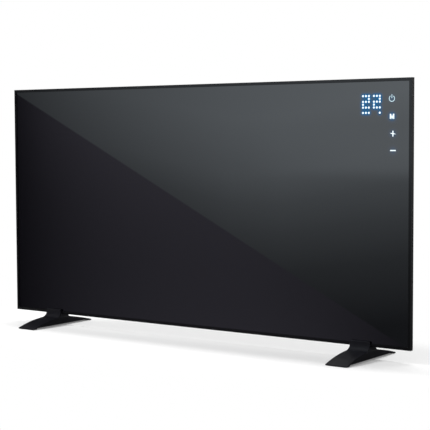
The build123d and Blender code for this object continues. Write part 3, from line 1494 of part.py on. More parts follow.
def build():
    """Model and write every sub-part."""
    save("glass_panel", glass_panel())
    save("glass_seal", glass_seal())
    for name, rail in frame_rails().items():
        save(name, rail)
    save("corner_keys", *corner_keys())
    save("corner_key_screws", *corner_key_screws())
    save("backing_foam_strips", *backing_foam_strips())
    save("heating_film", heating_film())
    save("busbars", *busbars())
    save("reflector_foil", reflector_foil())
    save("insulation_board", insulation_board())
    save("thermal_cutouts", *thermal_cutouts())
    save("rear_cover", rear_cover())
    save("rear_cover_screws", *rear_cover_screws())
    save("rivet_nuts", *rivet_nuts())
    save("backing_stiffeners", *backing_stiffeners())
    save("display_carrier", display_carrier())
    save("display_leds", *display_leds())
    save("touch_springs", *touch_springs())
    save("display_board", display_board())
    save("display_board_screws", *display_board_screws())
    save("touch_chip", touch_chip())
    save("control_tray", control_tray())
    save("power_board", power_board())
    save("power_board_screws", *power_board_screws())
    save("power_relays", *power_relays())
    save("power_transformer", power_transformer())
    save("power_capacitors", *power_capacitors())
    save("terminal_block", terminal_block())
    save("fuse", fuse())
    save("tilt_switch", tilt_switch())
    save("buzzer", buzzer())
    save("room_sensor", room_sensor())
    save("board_connectors", *board_connectors())
    save("control_box_cover", control_box_cover())
    save("control_box_screws", *control_box_screws())
    save("cable_gland", cable_gland())
    save("gland_grommet", gland_grommet())
    save("gland_nut", gland_nut())
    save("gland_cap", gland_cap())
    save("switch_body", switch_body())
    save("switch_rocker", switch_rocker())
    save("switch_terminals", *switch_terminals())
    one_foot = foot()
    for name, foot_x in zip(("left_foot", "right_foot"), FOOT_XS):
        save(name, Pos(foot_x, 0, 0) * one_foot)
    save("foot_pads", *foot_pads())
    save("foot_screws", *foot_screws())
    save("heater_leads", *heater_leads())


build()
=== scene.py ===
import json
from math import cos, exp, pi, radians, sin

import bpy
from mathutils import Matrix, Vector

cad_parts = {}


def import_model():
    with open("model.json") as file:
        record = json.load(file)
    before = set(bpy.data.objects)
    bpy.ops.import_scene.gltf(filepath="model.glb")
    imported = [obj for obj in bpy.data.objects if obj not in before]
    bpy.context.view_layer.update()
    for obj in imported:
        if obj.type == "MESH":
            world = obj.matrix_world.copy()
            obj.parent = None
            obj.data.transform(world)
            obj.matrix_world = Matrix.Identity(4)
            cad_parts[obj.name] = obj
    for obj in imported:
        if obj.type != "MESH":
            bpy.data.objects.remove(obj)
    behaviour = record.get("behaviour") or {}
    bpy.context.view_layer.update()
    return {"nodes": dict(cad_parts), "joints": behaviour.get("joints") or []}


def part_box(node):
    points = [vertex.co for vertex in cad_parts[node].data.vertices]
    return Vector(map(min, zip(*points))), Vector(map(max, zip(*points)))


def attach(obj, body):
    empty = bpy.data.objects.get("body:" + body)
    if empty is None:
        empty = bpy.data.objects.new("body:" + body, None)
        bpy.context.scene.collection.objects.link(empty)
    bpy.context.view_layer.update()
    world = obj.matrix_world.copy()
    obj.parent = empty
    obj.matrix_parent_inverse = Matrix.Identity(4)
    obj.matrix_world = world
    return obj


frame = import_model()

# A free-standing infrared panel heater: a black glass panel with a touch display, on two feet.
# Everything is in metres: X to the right, Y to the rear, Z up, with the floor at zero.

MM = 0.001
GLASS_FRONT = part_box("glass_panel")[0].y
PANEL_LEFT, PANEL_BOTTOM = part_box("frame_left_rail")[0].x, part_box("frame_bottom_rail")[0].z
PANEL_RIGHT, PANEL_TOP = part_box("frame_right_rail")[1].x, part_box("frame_top_rail")[1].z

# Camera, worked out from the corners of the panel and the tips of the feet in the photograph
PICTURE_SIZE = 430.0  # pixels
FOCAL_PIXELS = 1262.1
SENSOR_WIDTH = 36.0  # millimetres, as Blender counts it
CLIP_START, CLIP_END = 0.05, 100.0
CAMERA_PLACE = Vector((1.8570, -2.4888, 0.5105))
CAMERA_TURN = 0.62315  # to the left, radians
CAMERA_DIP = 0.06440  # downward
CAMERA_ROLL = -0.00414  # about its direction


def camera():
    """Camera at the photograph's place, with its direction built from turn, dip and roll."""
    ahead = Vector((
        -sin(CAMERA_TURN) * cos(CAMERA_DIP), cos(CAMERA_TURN) * cos(CAMERA_DIP), -sin(CAMERA_DIP)
    ))
    level = Vector((cos(CAMERA_TURN), sin(CAMERA_TURN), 0.0))
    above = level.cross(ahead)
    right = cos(CAMERA_ROLL) * level + sin(CAMERA_ROLL) * above
    up = -sin(CAMERA_ROLL) * level + cos(CAMERA_ROLL) * above
    turn = Matrix((right, up, -ahead)).transposed().to_4x4()
    data = bpy.data.cameras.new("photo_camera")
    data.sensor_width = SENSOR_WIDTH
    data.lens = FOCAL_PIXELS / PICTURE_SIZE * SENSOR_WIDTH
    data.clip_start, data.clip_end = CLIP_START, CLIP_END
    item = bpy.data.objects.new("photo_camera", data)
    bpy.context.scene.collection.objects.link(item)
    item.matrix_world = Matrix.Translation(CAMERA_PLACE) @ turn
    bpy.context.scene.camera = item


# Materials

EVEN = (1, 1, 1)  # a pattern that isn't stretched
GLASS_INDEX = 1.5
GLOW_STRENGTH = 0.20
GLOW_COLOUR = (0.0, 0.27, 1.0)
GLOW_TINT = (0.05, 0.70, 1.0)  # of the reflections where the glass glows
DULL_GLOSS = 0.15  # specular level of the frame and the mouldings, which reflect less than plain plastic
BEVEL_SAMPLES = 4


class Graph:
    """Node tree of one material, round one Principled shader."""

    def __init__(self, name):
        self.material = bpy.data.materials.new(name)
        self.material.use_nodes = True
        self.tree = self.material.node_tree
        self.tree.nodes.clear()
        self.shader = self.node("BsdfPrincipled")
        output = self.node("OutputMaterial")
        self.join(self.shader.outputs["BSDF"], output.inputs["Surface"])
        self.place = self.node("TexCoord").outputs["Object"]

    def node(self, kind, **settings):
        """New node, with its settings."""
        made = self.tree.nodes.new("ShaderNode" + kind)
        for key, value in settings.items():
            setattr(made, key, value)
        return made

    def join(self, source, target):
        """Link a socket to an input, or write a plain value there."""
        if isinstance(source, bpy.types.NodeSocket):
            self.tree.links.new(source, target)
        else:
            target.default_value = source

    def put(self, name, source):
        """Value or socket for one of the shader's inputs."""
        if isinstance(source, tuple) and len(source) == 3:
            source = (*source, 1.0)
        self.join(source, self.shader.inputs[name])

    def scaled(self, size_mm, stretch=EVEN):
        """Object coordinates in which one unit is a feature of the given size."""
        mapping = self.node("Mapping")
        mapping.inputs["Scale"].default_value = [1 / (size_mm * MM * s) for s in stretch]
        self.join(self.place, mapping.inputs["Vector"])
        return mapping.outputs["Vector"]

    def noise(self, size_mm, detail=3.0, stretch=EVEN, roughness=0.55):
        """Cloudy pattern with features of the given size."""
        made = self.node("TexNoise")
        made.inputs["Scale"].default_value = 1.0
        made.inputs["Detail"].default_value = detail
        made.inputs["Roughness"].default_value = roughness
        self.join(self.scaled(size_mm, stretch), made.inputs["Vector"])
        return made.outputs["Fac"]

    def cells(self, size_mm, feature="F1", output="Distance", stretch=EVEN):
        """Cell pattern with cells of the given size."""
        made = self.node("TexVoronoi", feature=feature)
        made.inputs["Scale"].default_value = 1.0
        self.join(self.scaled(size_mm, stretch), made.inputs["Vector"])
        return made.outputs[output]

    def spread(self, value, low, high, start=0.35, end=0.65, smooth=False):
        """Value mapped from start..end to low..high, and held there."""
        made = self.node("MapRange", interpolation_type="SMOOTHSTEP" if smooth else "LINEAR")
        for key, number in (
            ("From Min", start), ("From Max", end), ("To Min", low), ("To Max", high)
        ):
            made.inputs[key].default_value = number
        self.join(value, made.inputs["Value"])
        return made.outputs["Result"]

    def reckon(self, operation, a, b=0.0, c=0.0):
        """One Math node."""
        made = self.node("Math", operation=operation)
        for value, target in zip((a, b, c), made.inputs):
            self.join(value, target)
        return made.outputs["Value"]

    def times(self, a, b):
        """Product of two values."""
        return self.reckon("MULTIPLY", a, b)

    def mix(self, factor, a, b):
        """Two colours mixed."""
        made = self.node("Mix", data_type="RGBA")
        self.join(factor, made.inputs["Factor"])
        for value, target in ((a, made.inputs[6]), (b, made.inputs[7])):
            self.join((*value, 1.0) if isinstance(value, tuple) else value, target)
        return made.outputs[2]

    def bump(self, height, relief_mm, below=None):
        """Normal from a height pattern, on top of another normal."""
        made = self.node("Bump")
        made.inputs["Distance"].default_value = relief_mm * MM
        self.join(height, made.inputs["Height"])
        if below is not None:
            self.join(below, made.inputs["Normal"])
        return made.outputs["Normal"]

    def rounded(self, radius_mm):
        """Normal of edges that are rounded by a small radius."""
        made = self.node("Bevel", samples=BEVEL_SAMPLES)
        made.inputs["Radius"].default_value = radius_mm * MM
        return made.outputs["Normal"]

    def edges(self, radius_mm):
        """1 near sharp edges and 0 on flat ground."""
        geometry = self.node("NewGeometry")
        dot = self.node("VectorMath", operation="DOT_PRODUCT")
        self.join(self.rounded(radius_mm), dot.inputs[0])
        self.join(geometry.outputs["Normal"], dot.inputs[1])
        return self.spread(dot.outputs["Value"], 1.0, 0.0, start=0.80, end=0.99)

    def rubbed(self, tone, worn, edge_mm, patch_mm, least, most):
        """Colour whose edges are rubbed to another, more in some patches than in others."""
        edges = self.edges(edge_mm)
        patches = self.spread(self.noise(patch_mm, detail=4.0), least, most)
        return self.mix(self.times(edges, patches), tone, worn)


def toned(colour, gain):
    """Colour made darker or lighter by a factor."""
    return tuple(gain * value for value in colour)


def surface(name, colour, second, roughness, grain_mm, relief_mm, patch_mm, metal=0.0, stretch=EVEN,
            worn=None, worn_mm=0.25):
    """Everyday finish: clouded colour, uneven gloss, fine relief, and edges that are rubbed lighter."""
    graph = Graph(name)
    patches = graph.noise(patch_mm, detail=4.0, stretch=stretch)
    grain = graph.noise(grain_mm, detail=2.0, stretch=stretch, roughness=0.6)
    tone = graph.mix(graph.spread(patches, 0.0, 1.0), colour, second)
    tone = graph.mix(graph.spread(grain, 0.0, 0.25), tone, toned(colour, 0.6))
    if worn:
        tone = graph.rubbed(tone, worn, worn_mm, patch_mm=9.0, least=0.25, most=1.0)
    graph.put("Base Color", tone)
    low, high = roughness
    uneven = graph.noise(patch_mm / 3, detail=5.0, stretch=stretch)
    graph.put("Roughness", graph.spread(uneven, low, high, start=0.3, end=0.7))
    graph.put("Metallic", metal)
    graph.put("Normal", graph.bump(grain, relief_mm, graph.rounded(worn_mm) if worn else None))
    return graph.material


def black_glass(name="black_glass", lit=False):
    """Black printed glass: nearly black below a clear polish, with faint wipe marks and a slow wave.
    Where it is lit, the glow attribute of the mesh says how much light spreads in it."""
    black, second = (0.0013, 0.0012, 0.0019), (0.0023, 0.0021, 0.0030)
    graph = Graph(name)
    graph.put("Base Color", graph.mix(graph.noise(220.0, detail=2.0), black, second))
    wipes = graph.noise(70.0, detail=5.0, stretch=(3.0, 1.0, 0.8), roughness=0.6)
    graph.put("Roughness", graph.spread(wipes, 0.020, 0.045, start=0.35, end=0.75))
    graph.put("IOR", GLASS_INDEX)
    graph.put("Normal", graph.bump(graph.noise(160.0, detail=1.0), relief_mm=0.03))
    if lit:
        light = graph.node("Attribute", attribute_name="glow").outputs["Fac"]
        tinted = graph.spread(light, 0.0, 1.0, start=0.1, end=0.9)
        graph.put("Specular Tint", graph.mix(tinted, (1.0, 1.0, 1.0), GLOW_TINT))
        graph.put("Emission Color", GLOW_COLOUR)
        graph.put("Emission Strength", graph.times(light, GLOW_STRENGTH))
    return graph.material


def anodised(name, stretch):
    """Black anodised aluminium with a fine brush that follows the rail."""
    black, second = (0.0018, 0.0019, 0.0023), (0.0032, 0.0033, 0.0038)
    brushed, worn = (0.0060, 0.0061, 0.0068), (0.014, 0.0145, 0.016)
    graph = Graph(name)
    brush = graph.noise(0.6, detail=3.0, stretch=stretch, roughness=0.7)
    clouds = graph.noise(90.0, detail=3.0)
    tone = graph.mix(graph.spread(clouds, 0.0, 1.0), black, second)
    tone = graph.mix(graph.spread(brush, 0.0, 0.5), tone, brushed)
    graph.put("Base Color", graph.rubbed(tone, worn, edge_mm=0.5, patch_mm=14.0, least=0.2, most=0.9))
    graph.put("Roughness", graph.spread(brush, 0.24, 0.34))
    graph.put("Specular IOR Level", DULL_GLOSS)
    graph.put("Normal", graph.bump(brush, relief_mm=0.003, below=graph.rounded(1.5)))
    return graph.material


def moulded(name, colour, second, worn):
    """Black moulded plastic with a spark-eroded texture and slow gloss changes from the mould."""
    graph = Graph(name)
    pits = graph.cells(0.55, feature="SMOOTH_F1")
    sand = graph.noise(0.35, detail=2.0)
    flow = graph.noise(34.0, detail=4.0, roughness=0.6)
    tone = graph.mix(graph.spread(flow, 0.0, 1.0), colour, second)
    tone = graph.mix(graph.spread(sand, 0.0, 0.35), tone, toned(colour, 0.5))
    graph.put("Base Color", graph.rubbed(tone, worn, edge_mm=0.7, patch_mm=7.0, least=0.1, most=1.0))
    graph.put("Roughness", graph.spread(flow, 0.42, 0.56))
    graph.put("Specular IOR Level", DULL_GLOSS)
    normal = graph.bump(pits, relief_mm=0.03, below=graph.rounded(0.6))
    graph.put("Normal", graph.bump(sand, relief_mm=0.012, below=normal))
    return graph.material


def powder_coat(name):
    """Black powder coat on pressed steel: an orange-peel skin with fine dust."""
    black, second = (0.0120, 0.0122, 0.0130), (0.0175, 0.0178, 0.0190)
    dusty, worn = (0.060, 0.060, 0.062), (0.070, 0.070, 0.074)
    graph = Graph(name)
    peel = graph.noise(1.6, detail=2.0, roughness=0.45)
    clouds = graph.noise(120.0, detail=4.0)
    dust = graph.cells(5.0)
    tone = graph.mix(graph.spread(clouds, 0.0, 1.0), black, second)
    tone = graph.mix(graph.spread(dust, 0.3, 0.0, start=0.0, end=0.09), tone, dusty)
    graph.put("Base Color", graph.rubbed(tone, worn, edge_mm=0.5, patch_mm=11.0, least=0.0, most=0.8))
    graph.put("Roughness", graph.spread(peel, 0.38, 0.52))
    graph.put("Normal", graph.bump(peel, relief_mm=0.05, below=graph.rounded(0.5)))
    return graph.material


def galvanised(name):
    """Zinc-coated steel with its crystal pattern."""
    graph = Graph(name)
    crystal = graph.cells(9.0, output="Color")
    shade = graph.node("SeparateColor")
    graph.join(crystal, shade.inputs["Color"])
    step = shade.outputs["Red"]
    graph.put("Base Color", graph.mix(step, (0.42, 0.43, 0.44), (0.60, 0.61, 0.62)))
    graph.put("Metallic", 1.0)
    graph.put("Roughness", graph.spread(step, 0.30, 0.50, start=0.0, end=1.0))
    graph.put("Normal", graph.bump(graph.noise(0.8, detail=2.0), relief_mm=0.006, below=graph.rounded(0.4)))
    return graph.material


def circuit_board(name):
    """Solder mask with copper tracks showing through as lighter green lines."""
    mask, track = (0.010, 0.070, 0.028), (0.030, 0.160, 0.060)
    graph = Graph(name)
    tracks = graph.cells(4.0, feature="DISTANCE_TO_EDGE", stretch=(1, 3, 1))
    line = graph.spread(tracks, 1.0, 0.0, start=0.06, end=0.12)
    graph.put("Base Color", graph.mix(line, mask, track))
    graph.put("Roughness", graph.spread(graph.noise(12.0), 0.22, 0.36))
    graph.put("Normal", graph.bump(line, relief_mm=0.03))
    return graph.material


# Plain finishes: two colours, least and most roughness, size of the grain, its relief and size of the
# patches in millimetres, and what else the finish has
PLAIN_FINISHES = {
    "switch_plastic": (
        (0.012, 0.012, 0.012), (0.017, 0.017, 0.017), (0.25, 0.38), 0.5, 0.006, 20.0,
        {"worn": (0.05, 0.05, 0.05), "worn_mm": 0.3}),
    "key_steel": (
        (0.55, 0.55, 0.56), (0.62, 0.62, 0.63), (0.28, 0.42), 0.4, 0.004, 12.0, {"metal": 1.0}),
    "screw_steel": (
        (0.030, 0.030, 0.032), (0.050, 0.050, 0.053), (0.30, 0.45), 0.3, 0.004, 4.0,
        {"metal": 0.85, "worn": (0.22, 0.22, 0.23)}),
    "zinc_steel": (
        (0.50, 0.50, 0.47), (0.60, 0.59, 0.55), (0.26, 0.40), 0.4, 0.005, 8.0,
        {"metal": 1.0, "worn": (0.72, 0.72, 0.72)}),
    "seal_rubber": ((0.010, 0.010, 0.011), (0.015, 0.015, 0.016), (0.60, 0.78), 0.6, 0.02, 25.0, {}),
    "pad_rubber": ((0.020, 0.020, 0.021), (0.030, 0.030, 0.031), (0.70, 0.88), 0.5, 0.03, 10.0, {}),
    "foam": ((0.060, 0.060, 0.062), (0.090, 0.090, 0.093), (0.85, 0.95), 0.9, 0.15, 20.0, {}),
    "heating_film": (
        (0.020, 0.019, 0.018), (0.034, 0.032, 0.030), (0.30, 0.45), 2.0, 0.01, 40.0, {"stretch": (8, 1, 1)}),
    "copper": ((0.72, 0.33, 0.20), (0.62, 0.27, 0.16), (0.24, 0.42), 0.8, 0.006, 15.0, {"metal": 1.0}),
    "foil": ((0.80, 0.81, 0.82), (0.70, 0.71, 0.72), (0.15, 0.32), 6.0, 0.12, 30.0, {"metal": 1.0}),
    "mineral_board": (
        (0.56, 0.52, 0.43), (0.66, 0.62, 0.53), (0.85, 0.95), 1.2, 0.12, 30.0, {"stretch": (3, 1, 1)}),
    "mask_plastic": ((0.012, 0.012, 0.012), (0.018, 0.018, 0.018), (0.45, 0.60), 0.4, 0.01, 20.0, {}),
    "led": ((0.78, 0.78, 0.72), (0.86, 0.86, 0.80), (0.20, 0.35), 0.3, 0.004, 3.0, {}),
    "chip_black": ((0.015, 0.015, 0.016), (0.022, 0.022, 0.023), (0.50, 0.65), 0.2, 0.008, 5.0, {}),
    "relay_blue": ((0.030, 0.110, 0.340), (0.036, 0.130, 0.390), (0.30, 0.45), 0.4, 0.006, 12.0, {}),
    "ferrite": ((0.050, 0.048, 0.046), (0.075, 0.072, 0.069), (0.50, 0.70), 0.5, 0.02, 8.0, {}),
    "capacitor_sleeve": (
        (0.012, 0.020, 0.060), (0.016, 0.026, 0.075), (0.20, 0.32), 0.6, 0.004, 10.0, {}),
    "terminal_green": ((0.025, 0.220, 0.080), (0.030, 0.260, 0.095), (0.35, 0.50), 0.4, 0.008, 9.0, {}),
    "fuse_glass": ((0.62, 0.66, 0.66), (0.70, 0.74, 0.74), (0.05, 0.12), 0.6, 0.003, 6.0, {}),
    "connector_white": ((0.72, 0.70, 0.62), (0.78, 0.76, 0.68), (0.40, 0.55), 0.4, 0.006, 6.0, {}),
    "lead_insulation": ((0.42, 0.06, 0.035), (0.50, 0.075, 0.045), (0.40, 0.55), 0.5, 0.01, 20.0, {}),
}
# Mouldings: two colours, and the colour of rubbed edges
MOULDED_FINISHES = {
    "foot_plastic": ((0.0068, 0.0068, 0.0092), (0.0100, 0.0100, 0.0132), (0.017, 0.017, 0.022)),
    "box_plastic": ((0.0165, 0.0168, 0.0175), (0.0210, 0.0214, 0.0222), (0.058, 0.058, 0.060)),
    "gland_nylon": ((0.0140, 0.0140, 0.0145), (0.0190, 0.0190, 0.0196), (0.050, 0.050, 0.052)),
}


def finishes():
    """Every finish by its slot in the record, apart from the frame's."""
    made = {
        "black_glass": black_glass(),
        "cover_paint": powder_coat("cover_paint"),
        "galvanised_steel": galvanised("galvanised_steel"),
        "board_green": circuit_board("board_green"),
    }
    for name, colours in MOULDED_FINISHES.items():
        made[name] = moulded(name, *colours)
    for name, (*settings, others) in PLAIN_FINISHES.items():
        made[name] = surface(name, *settings, **others)
    return made


# Nodes by the finish they have, which is their material slot in the record
NODES_OF = {
    "black_glass": ("glass_panel",),
    "board_green": ("display_board", "power_board"),
    "box_plastic": ("control_tray", "control_box_cover"),
    "capacitor_sleeve": ("power_capacitors",),
    "chip_black": ("touch_chip", "buzzer", "tilt_switch", "room_sensor"),
    "connector_white": ("board_connectors",),
    "copper": ("busbars", "touch_springs", "switch_terminals"),
    "cover_paint": ("rear_cover",),
    "ferrite": ("power_transformer",),
    "foam": ("backing_foam_strips",),
    "foil": ("reflector_foil",),
    "foot_plastic": ("left_foot", "right_foot"),
    "fuse_glass": ("fuse",),
    "galvanised_steel": ("backing_stiffeners",),
    "gland_nylon": ("cable_gland", "gland_cap", "gland_nut"),
    "heating_film": ("heating_film",),
    "key_steel": ("corner_keys",),
    "lead_insulation": ("heater_leads",),
    "led": ("display_leds",),
    "mask_plastic": ("display_carrier",),
    "mineral_board": ("insulation_board",),
    "pad_rubber": ("foot_pads",),
    "relay_blue": ("power_relays",),
    "screw_steel": ("rear_cover_screws", "control_box_screws", "foot_screws"),
    "seal_rubber": ("glass_seal", "gland_grommet"),
    "switch_plastic": ("switch_body", "switch_rocker"),
    "terminal_green": ("terminal_block",),
    "zinc_steel": (
        "corner_key_screws", "rivet_nuts", "display_board_screws", "power_board_screws", "thermal_cutouts"),
}
BRUSH_LENGTH = 40  # of the brushed lines, over their width


def dress(item, material):
    """Give an object one material."""
    item.data.materials.clear()
    item.data.materials.append(material)


def dress_nodes(made):
    """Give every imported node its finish."""
    across = anodised("black_aluminium_across", (BRUSH_LENGTH, 1, 1))
    upright = anodised("black_aluminium_upright", (1, 1, BRUSH_LENGTH))
    finish_of = {
        "frame_top_rail": across, "frame_bottom_rail": across,
        "frame_left_rail": upright, "frame_right_rail": upright,
    }
    for slot, names in NODES_OF.items():
        for name in names:
            finish_of[name] = made[slot]
    for name, item in frame["nodes"].items():
        dress(item, finish_of[name])


# Lit signs of the display

FILM_STEP = 0.03 * MM  # from the glass to the glow's film, and on to the signs
DIGITS_INSET, DIGITS_DROP = 80.0 * MM, 38.6 * MM  # last column and top row, from the panel's corner
DIGIT_PITCH = 27.4 * MM
DOT_PITCH_X, DOT_PITCH_Z = 7.4 * MM, 6.4 * MM
INDICATOR_DROP = 11.7 * MM
DOT_RADIUS = 2.45 * MM
DOT_RINGS = (0.45, 0.8, 1.0)  # rings of points, as shares of the radius
DIGIT_ROWS = ("111", "001", "111", "100", "111")  # a figure two
INDICATORS = ("111", "001")  # below the left and the right digit
KEY_INSET, POWER_DROP = 48.0 * MM, 44.6 * MM  # column of keys and top key, from the panel's corner
KEY_SIGNS = {  # shift from there to the right and up in millimetres, and strength of the glow
    "power": (-2.2, -0.4, 0.30),
    "mode": (-1.6, -39.6, 1.20),
    "plus": (0.7, -77.6, 0.35),
    "minus": (1.0, -114.7, 0.25),
}
GLOW_GRID, GLOW_MARGIN = 1.5 * MM, 24.0 * MM  # pitch of the film's points, and its rim round the signs
DOT_GLOW, SIGN_GLOW = 3.6 * MM, 5.5 * MM  # how far the light of one dot or sign spreads
MOST_GLOW = 1.2  # where the light of several dots adds up


def piece(name, points, faces, material, body="heater"):
    """Mesh object from points and faces, which rides on a body."""
    mesh = bpy.data.meshes.new(name)
    mesh.from_pydata(points, [], faces)
    mesh.update()
    return placed(name, mesh, material, body)


def placed(name, mesh, material, body):
    """Object of a finished mesh, with its body."""
    item = bpy.data.objects.new(name, mesh)
    bpy.context.scene.collection.objects.link(item)
    dress(item, material)
    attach(item, body)
    return item


def lit_dots():
    """Middle of every lit dot of the display, as x and z."""
    right, top = PANEL_RIGHT - DIGITS_INSET - 2 * DOT_PITCH_X, PANEL_TOP - DIGITS_DROP
    indicator = top - (len(DIGIT_ROWS) - 1) * DOT_PITCH_Z - INDICATOR_DROP
    places = []
    for start, marks in ((right - DIGIT_PITCH, INDICATORS[0]), (right, INDICATORS[1])):
        for row, cells in enumerate(DIGIT_ROWS):
            places += [
                (start + column * DOT_PITCH_X, top - row * DOT_PITCH_Z)
                for column, cell in enumerate(cells) if cell == "1"
            ]
        places += [
            (start + column * DOT_PITCH_X, indicator)
            for column, cell in enumerate(marks) if cell == "1"
        ]
    return places


def ring_fan(points, faces, x, z, y, radii, sides=20):
    """Disc of rings round one point, open to the front."""
    first = len(points)
    points.append((x, y, z))
    for radius in radii:
        for k in range(sides):
            turn = 2 * pi * k / sides
            points.append((x + radius * cos(turn), y, z + radius * sin(turn)))
    for k in range(sides):
        following = (k + 1) % sides
        faces.append((first, first + 1 + following, first + 1 + k))
        for ring in range(len(radii) - 1):
            a, b = first + 1 + ring * sides, first + 1 + (ring + 1) * sides
            faces.append((a + k, a + following, b + following, b + k))


def rounded_outline(width, height, radius, steps=5):
    """Outline of a bar with round corners, about its middle."""
    x, z = width / 2 - radius, height / 2 - radius
    points = []
    for quarter, (corner_x, corner_z) in enumerate(((x, z), (-x, z), (-x, -z), (x, -z))):
        for k in range(steps + 1):
            turn = pi / 2 * (quarter + k / steps)
            points.append((corner_x + radius * cos(turn), corner_z + radius * sin(turn)))
    return points


def printed(name, outlines, place, material, body="heater"):
    """Flat print at a place, from closed outlines, where an outline inside another is a hole."""
    curve = bpy.data.curves.new(name, "CURVE")
    curve.dimensions = "2D"
    curve.fill_mode = "BOTH"
    for outline in outlines:
        spline = curve.splines.new("POLY")
        spline.points.add(len(outline) - 1)
        for point, (px, pz) in zip(spline.points, outline):
            point.co = (px, pz, 0.0, 1.0)
        spline.use_cyclic_u = True
    holder = bpy.data.objects.new(name + "_outline", curve)
    mesh = bpy.data.meshes.new_from_object(holder)
    bpy.data.objects.remove(holder)
    mesh.transform(place)
    return placed(name, mesh, material, body)


def facing(right, up, middle):
    """Place of a print with its two directions and its middle."""
    right, up = Vector(right), Vector(up)
    turn = Matrix((right, up, right.cross(up))).transposed().to_4x4()
    return Matrix.Translation(middle) @ turn


def circle(radius, sides=40, start=0.0, sweep=2 * pi):
    """Points on a circle or an arc."""
    return [
        (radius * cos(start + sweep * k / sides), radius * sin(start + sweep * k / sides))
        for k in range(sides + (sweep < 2 * pi))
    ]


def power_sign():
    """Ring open at the top, with a bar in the opening."""
    outer, inner, half_gap = 7.3 * MM, 5.7 * MM, radians(33)
    bar_width, bar_height, bar_corner, bar_middle = 1.5 * MM, 8.8 * MM, 0.7 * MM, 4.9 * MM
    start, sweep = pi / 2 + half_gap, 2 * pi - 2 * half_gap
    ring = circle(outer, 40, start, sweep) + circle(inner, 40, start, sweep)[::-1]
    bar = rounded_outline(bar_width, bar_height, bar_corner)
    return [ring, [(x, z + bar_middle) for x, z in bar]]


def letter_m():
    """Bold capital M of the mode key, whose middle strokes reach the foot of the letter."""
    half, top, inner, leg = 5.5 * MM, 5.6 * MM, 2.3 * MM, 2.7 * MM
    notch, crotch, tip = -1.6 * MM, -0.6 * MM, 0.8 * MM
    return [[
        (-half, -top), (-half, top), (-inner, top), (0, notch), (inner, top), (half, top),
        (half, -top), (leg, -top), (leg, crotch), (tip, -top), (-tip, -top), (-leg, crotch),
        (-leg, -top),
    ]]


def plus_sign():
    """Plus with bevelled ends."""
    reach_x, reach_z, half, corner = 7.0 * MM, 6.5 * MM, 1.35 * MM, 0.5 * MM
    upper_left = [
        (half, half), (half, reach_z - corner), (half - corner, reach_z), (corner - half, reach_z),
        (-half, reach_z - corner), (-half, half), (corner - reach_x, half), (-reach_x, half - corner),
    ]
    return [upper_left + [(-x, -z) for x, z in upper_left]]


def minus_sign():
    """Bar with rounded ends."""
    width, height, corner = 14.2 * MM, 2.6 * MM, 0.9 * MM
    return [rounded_outline(width, height, corner)]


def glow_film(dots, signs):
    """Part of the glass round the display and keys, with the faint light that spreads in it."""
    sources = [(x, z, 1.0, DOT_GLOW) for x, z in dots] + [(*sign, SIGN_GLOW) for sign in signs]
    left, right = min(x for x, _ in dots) - GLOW_MARGIN, max(x for x, _, _ in signs) + GLOW_MARGIN
    low, high = min(z for _, z, _ in signs) - GLOW_MARGIN, max(z for _, z in dots) + GLOW_MARGIN
    columns, rows = int((right - left) / GLOW_GRID), int((high - low) / GLOW_GRID)
    points, glow = [], []
    for row in range(rows + 1):
        for column in range(columns + 1):
            x, z = left + column * GLOW_GRID, low + row * GLOW_GRID
            points.append((x, GLASS_FRONT - FILM_STEP, z))
            light = sum(
                power * exp(-((x - from_x) ** 2 + (z - from_z) ** 2) / (2 * spread ** 2))
                for from_x, from_z, power, spread in sources
            )
            glow.append(min(light, MOST_GLOW))
    faces = [
        (i, i + 1, i + columns + 2, i + columns + 1)
        for row in range(rows) for i in range(row * (columns + 1), row * (columns + 1) + columns)
    ]
    film = piece("display_glow", points, faces, black_glass("lit_glass", lit=True))
    layer = film.data.attributes.new("glow", "FLOAT", "POINT")
    layer.data.foreach_set("value", glow)


def lamp_material(name, colour, strength):
    """Light seen through the printed mask, slightly uneven over the sign."""
    graph = Graph(name)
    uneven = graph.noise(2.0, detail=2.0)
    graph.put("Base Color", (0.02, 0.02, 0.022))
    graph.put("Roughness", graph.spread(graph.noise(4.0), 0.03, 0.08))
    graph.put("Emission Color", graph.mix(graph.spread(uneven, 0.0, 1.0), colour, toned(colour, 0.92)))
    graph.put("Emission Strength", strength)
    return graph.material


def display():
    """Two digits of dots, their indicators and the four key signs, lit behind the glass."""
    dots = lit_dots()
    sign_y = GLASS_FRONT - 2 * FILM_STEP
    points, faces = [], []
    for x, z in dots:
        ring_fan(points, faces, x, z, sign_y, [DOT_RADIUS * share for share in DOT_RINGS])
    bright = lamp_material("led_light", (0.86, 0.97, 1.0), strength=1.15)
    piece("display_dots", points, faces, bright)
    soft = lamp_material("key_light", (0.56, 0.78, 0.85), strength=1.1)
    prints = {
        "power": (power_sign(), soft), "mode": (letter_m(), bright),
        "plus": (plus_sign(), bright), "minus": (minus_sign(), bright),
    }
    lit = []
    for key, (shift_x, shift_z, power) in KEY_SIGNS.items():
        x, z = PANEL_RIGHT - KEY_INSET + shift_x * MM, PANEL_TOP - POWER_DROP + shift_z * MM
        outlines, material = prints[key]
        printed("key_sign_" + key, outlines, facing((1, 0, 0), (0, 0, 1), (x, sign_y, z)), material)
        lit.append((x, z, power))
    glow_film(dots, lit)


# Marks of the main switch

ROCKER_PIN = Vector(frame["joints"][0]["pos_m"])
ROCKER_TURN = radians(frame["joints"][0]["range_deg"][1])  # from one resting side to the other
ROCKER_CREST = MM * Vector((1.67, 0.0, 0.32))  # from the pin to where the two halves of the face meet
MARK_REACH = 4.0 * MM  # from there to the middle of a mark
LINE_WIDTH, LINE_LENGTH, LINE_CORNER = 0.9 * MM, 3.8 * MM, 0.3 * MM
RING_OUTER, RING_INNER = 1.9 * MM, 1.2 * MM


def tilted(turn):
    """Direction out of the switch, turned up by an angle."""
    return Vector((cos(turn), 0, sin(turn)))


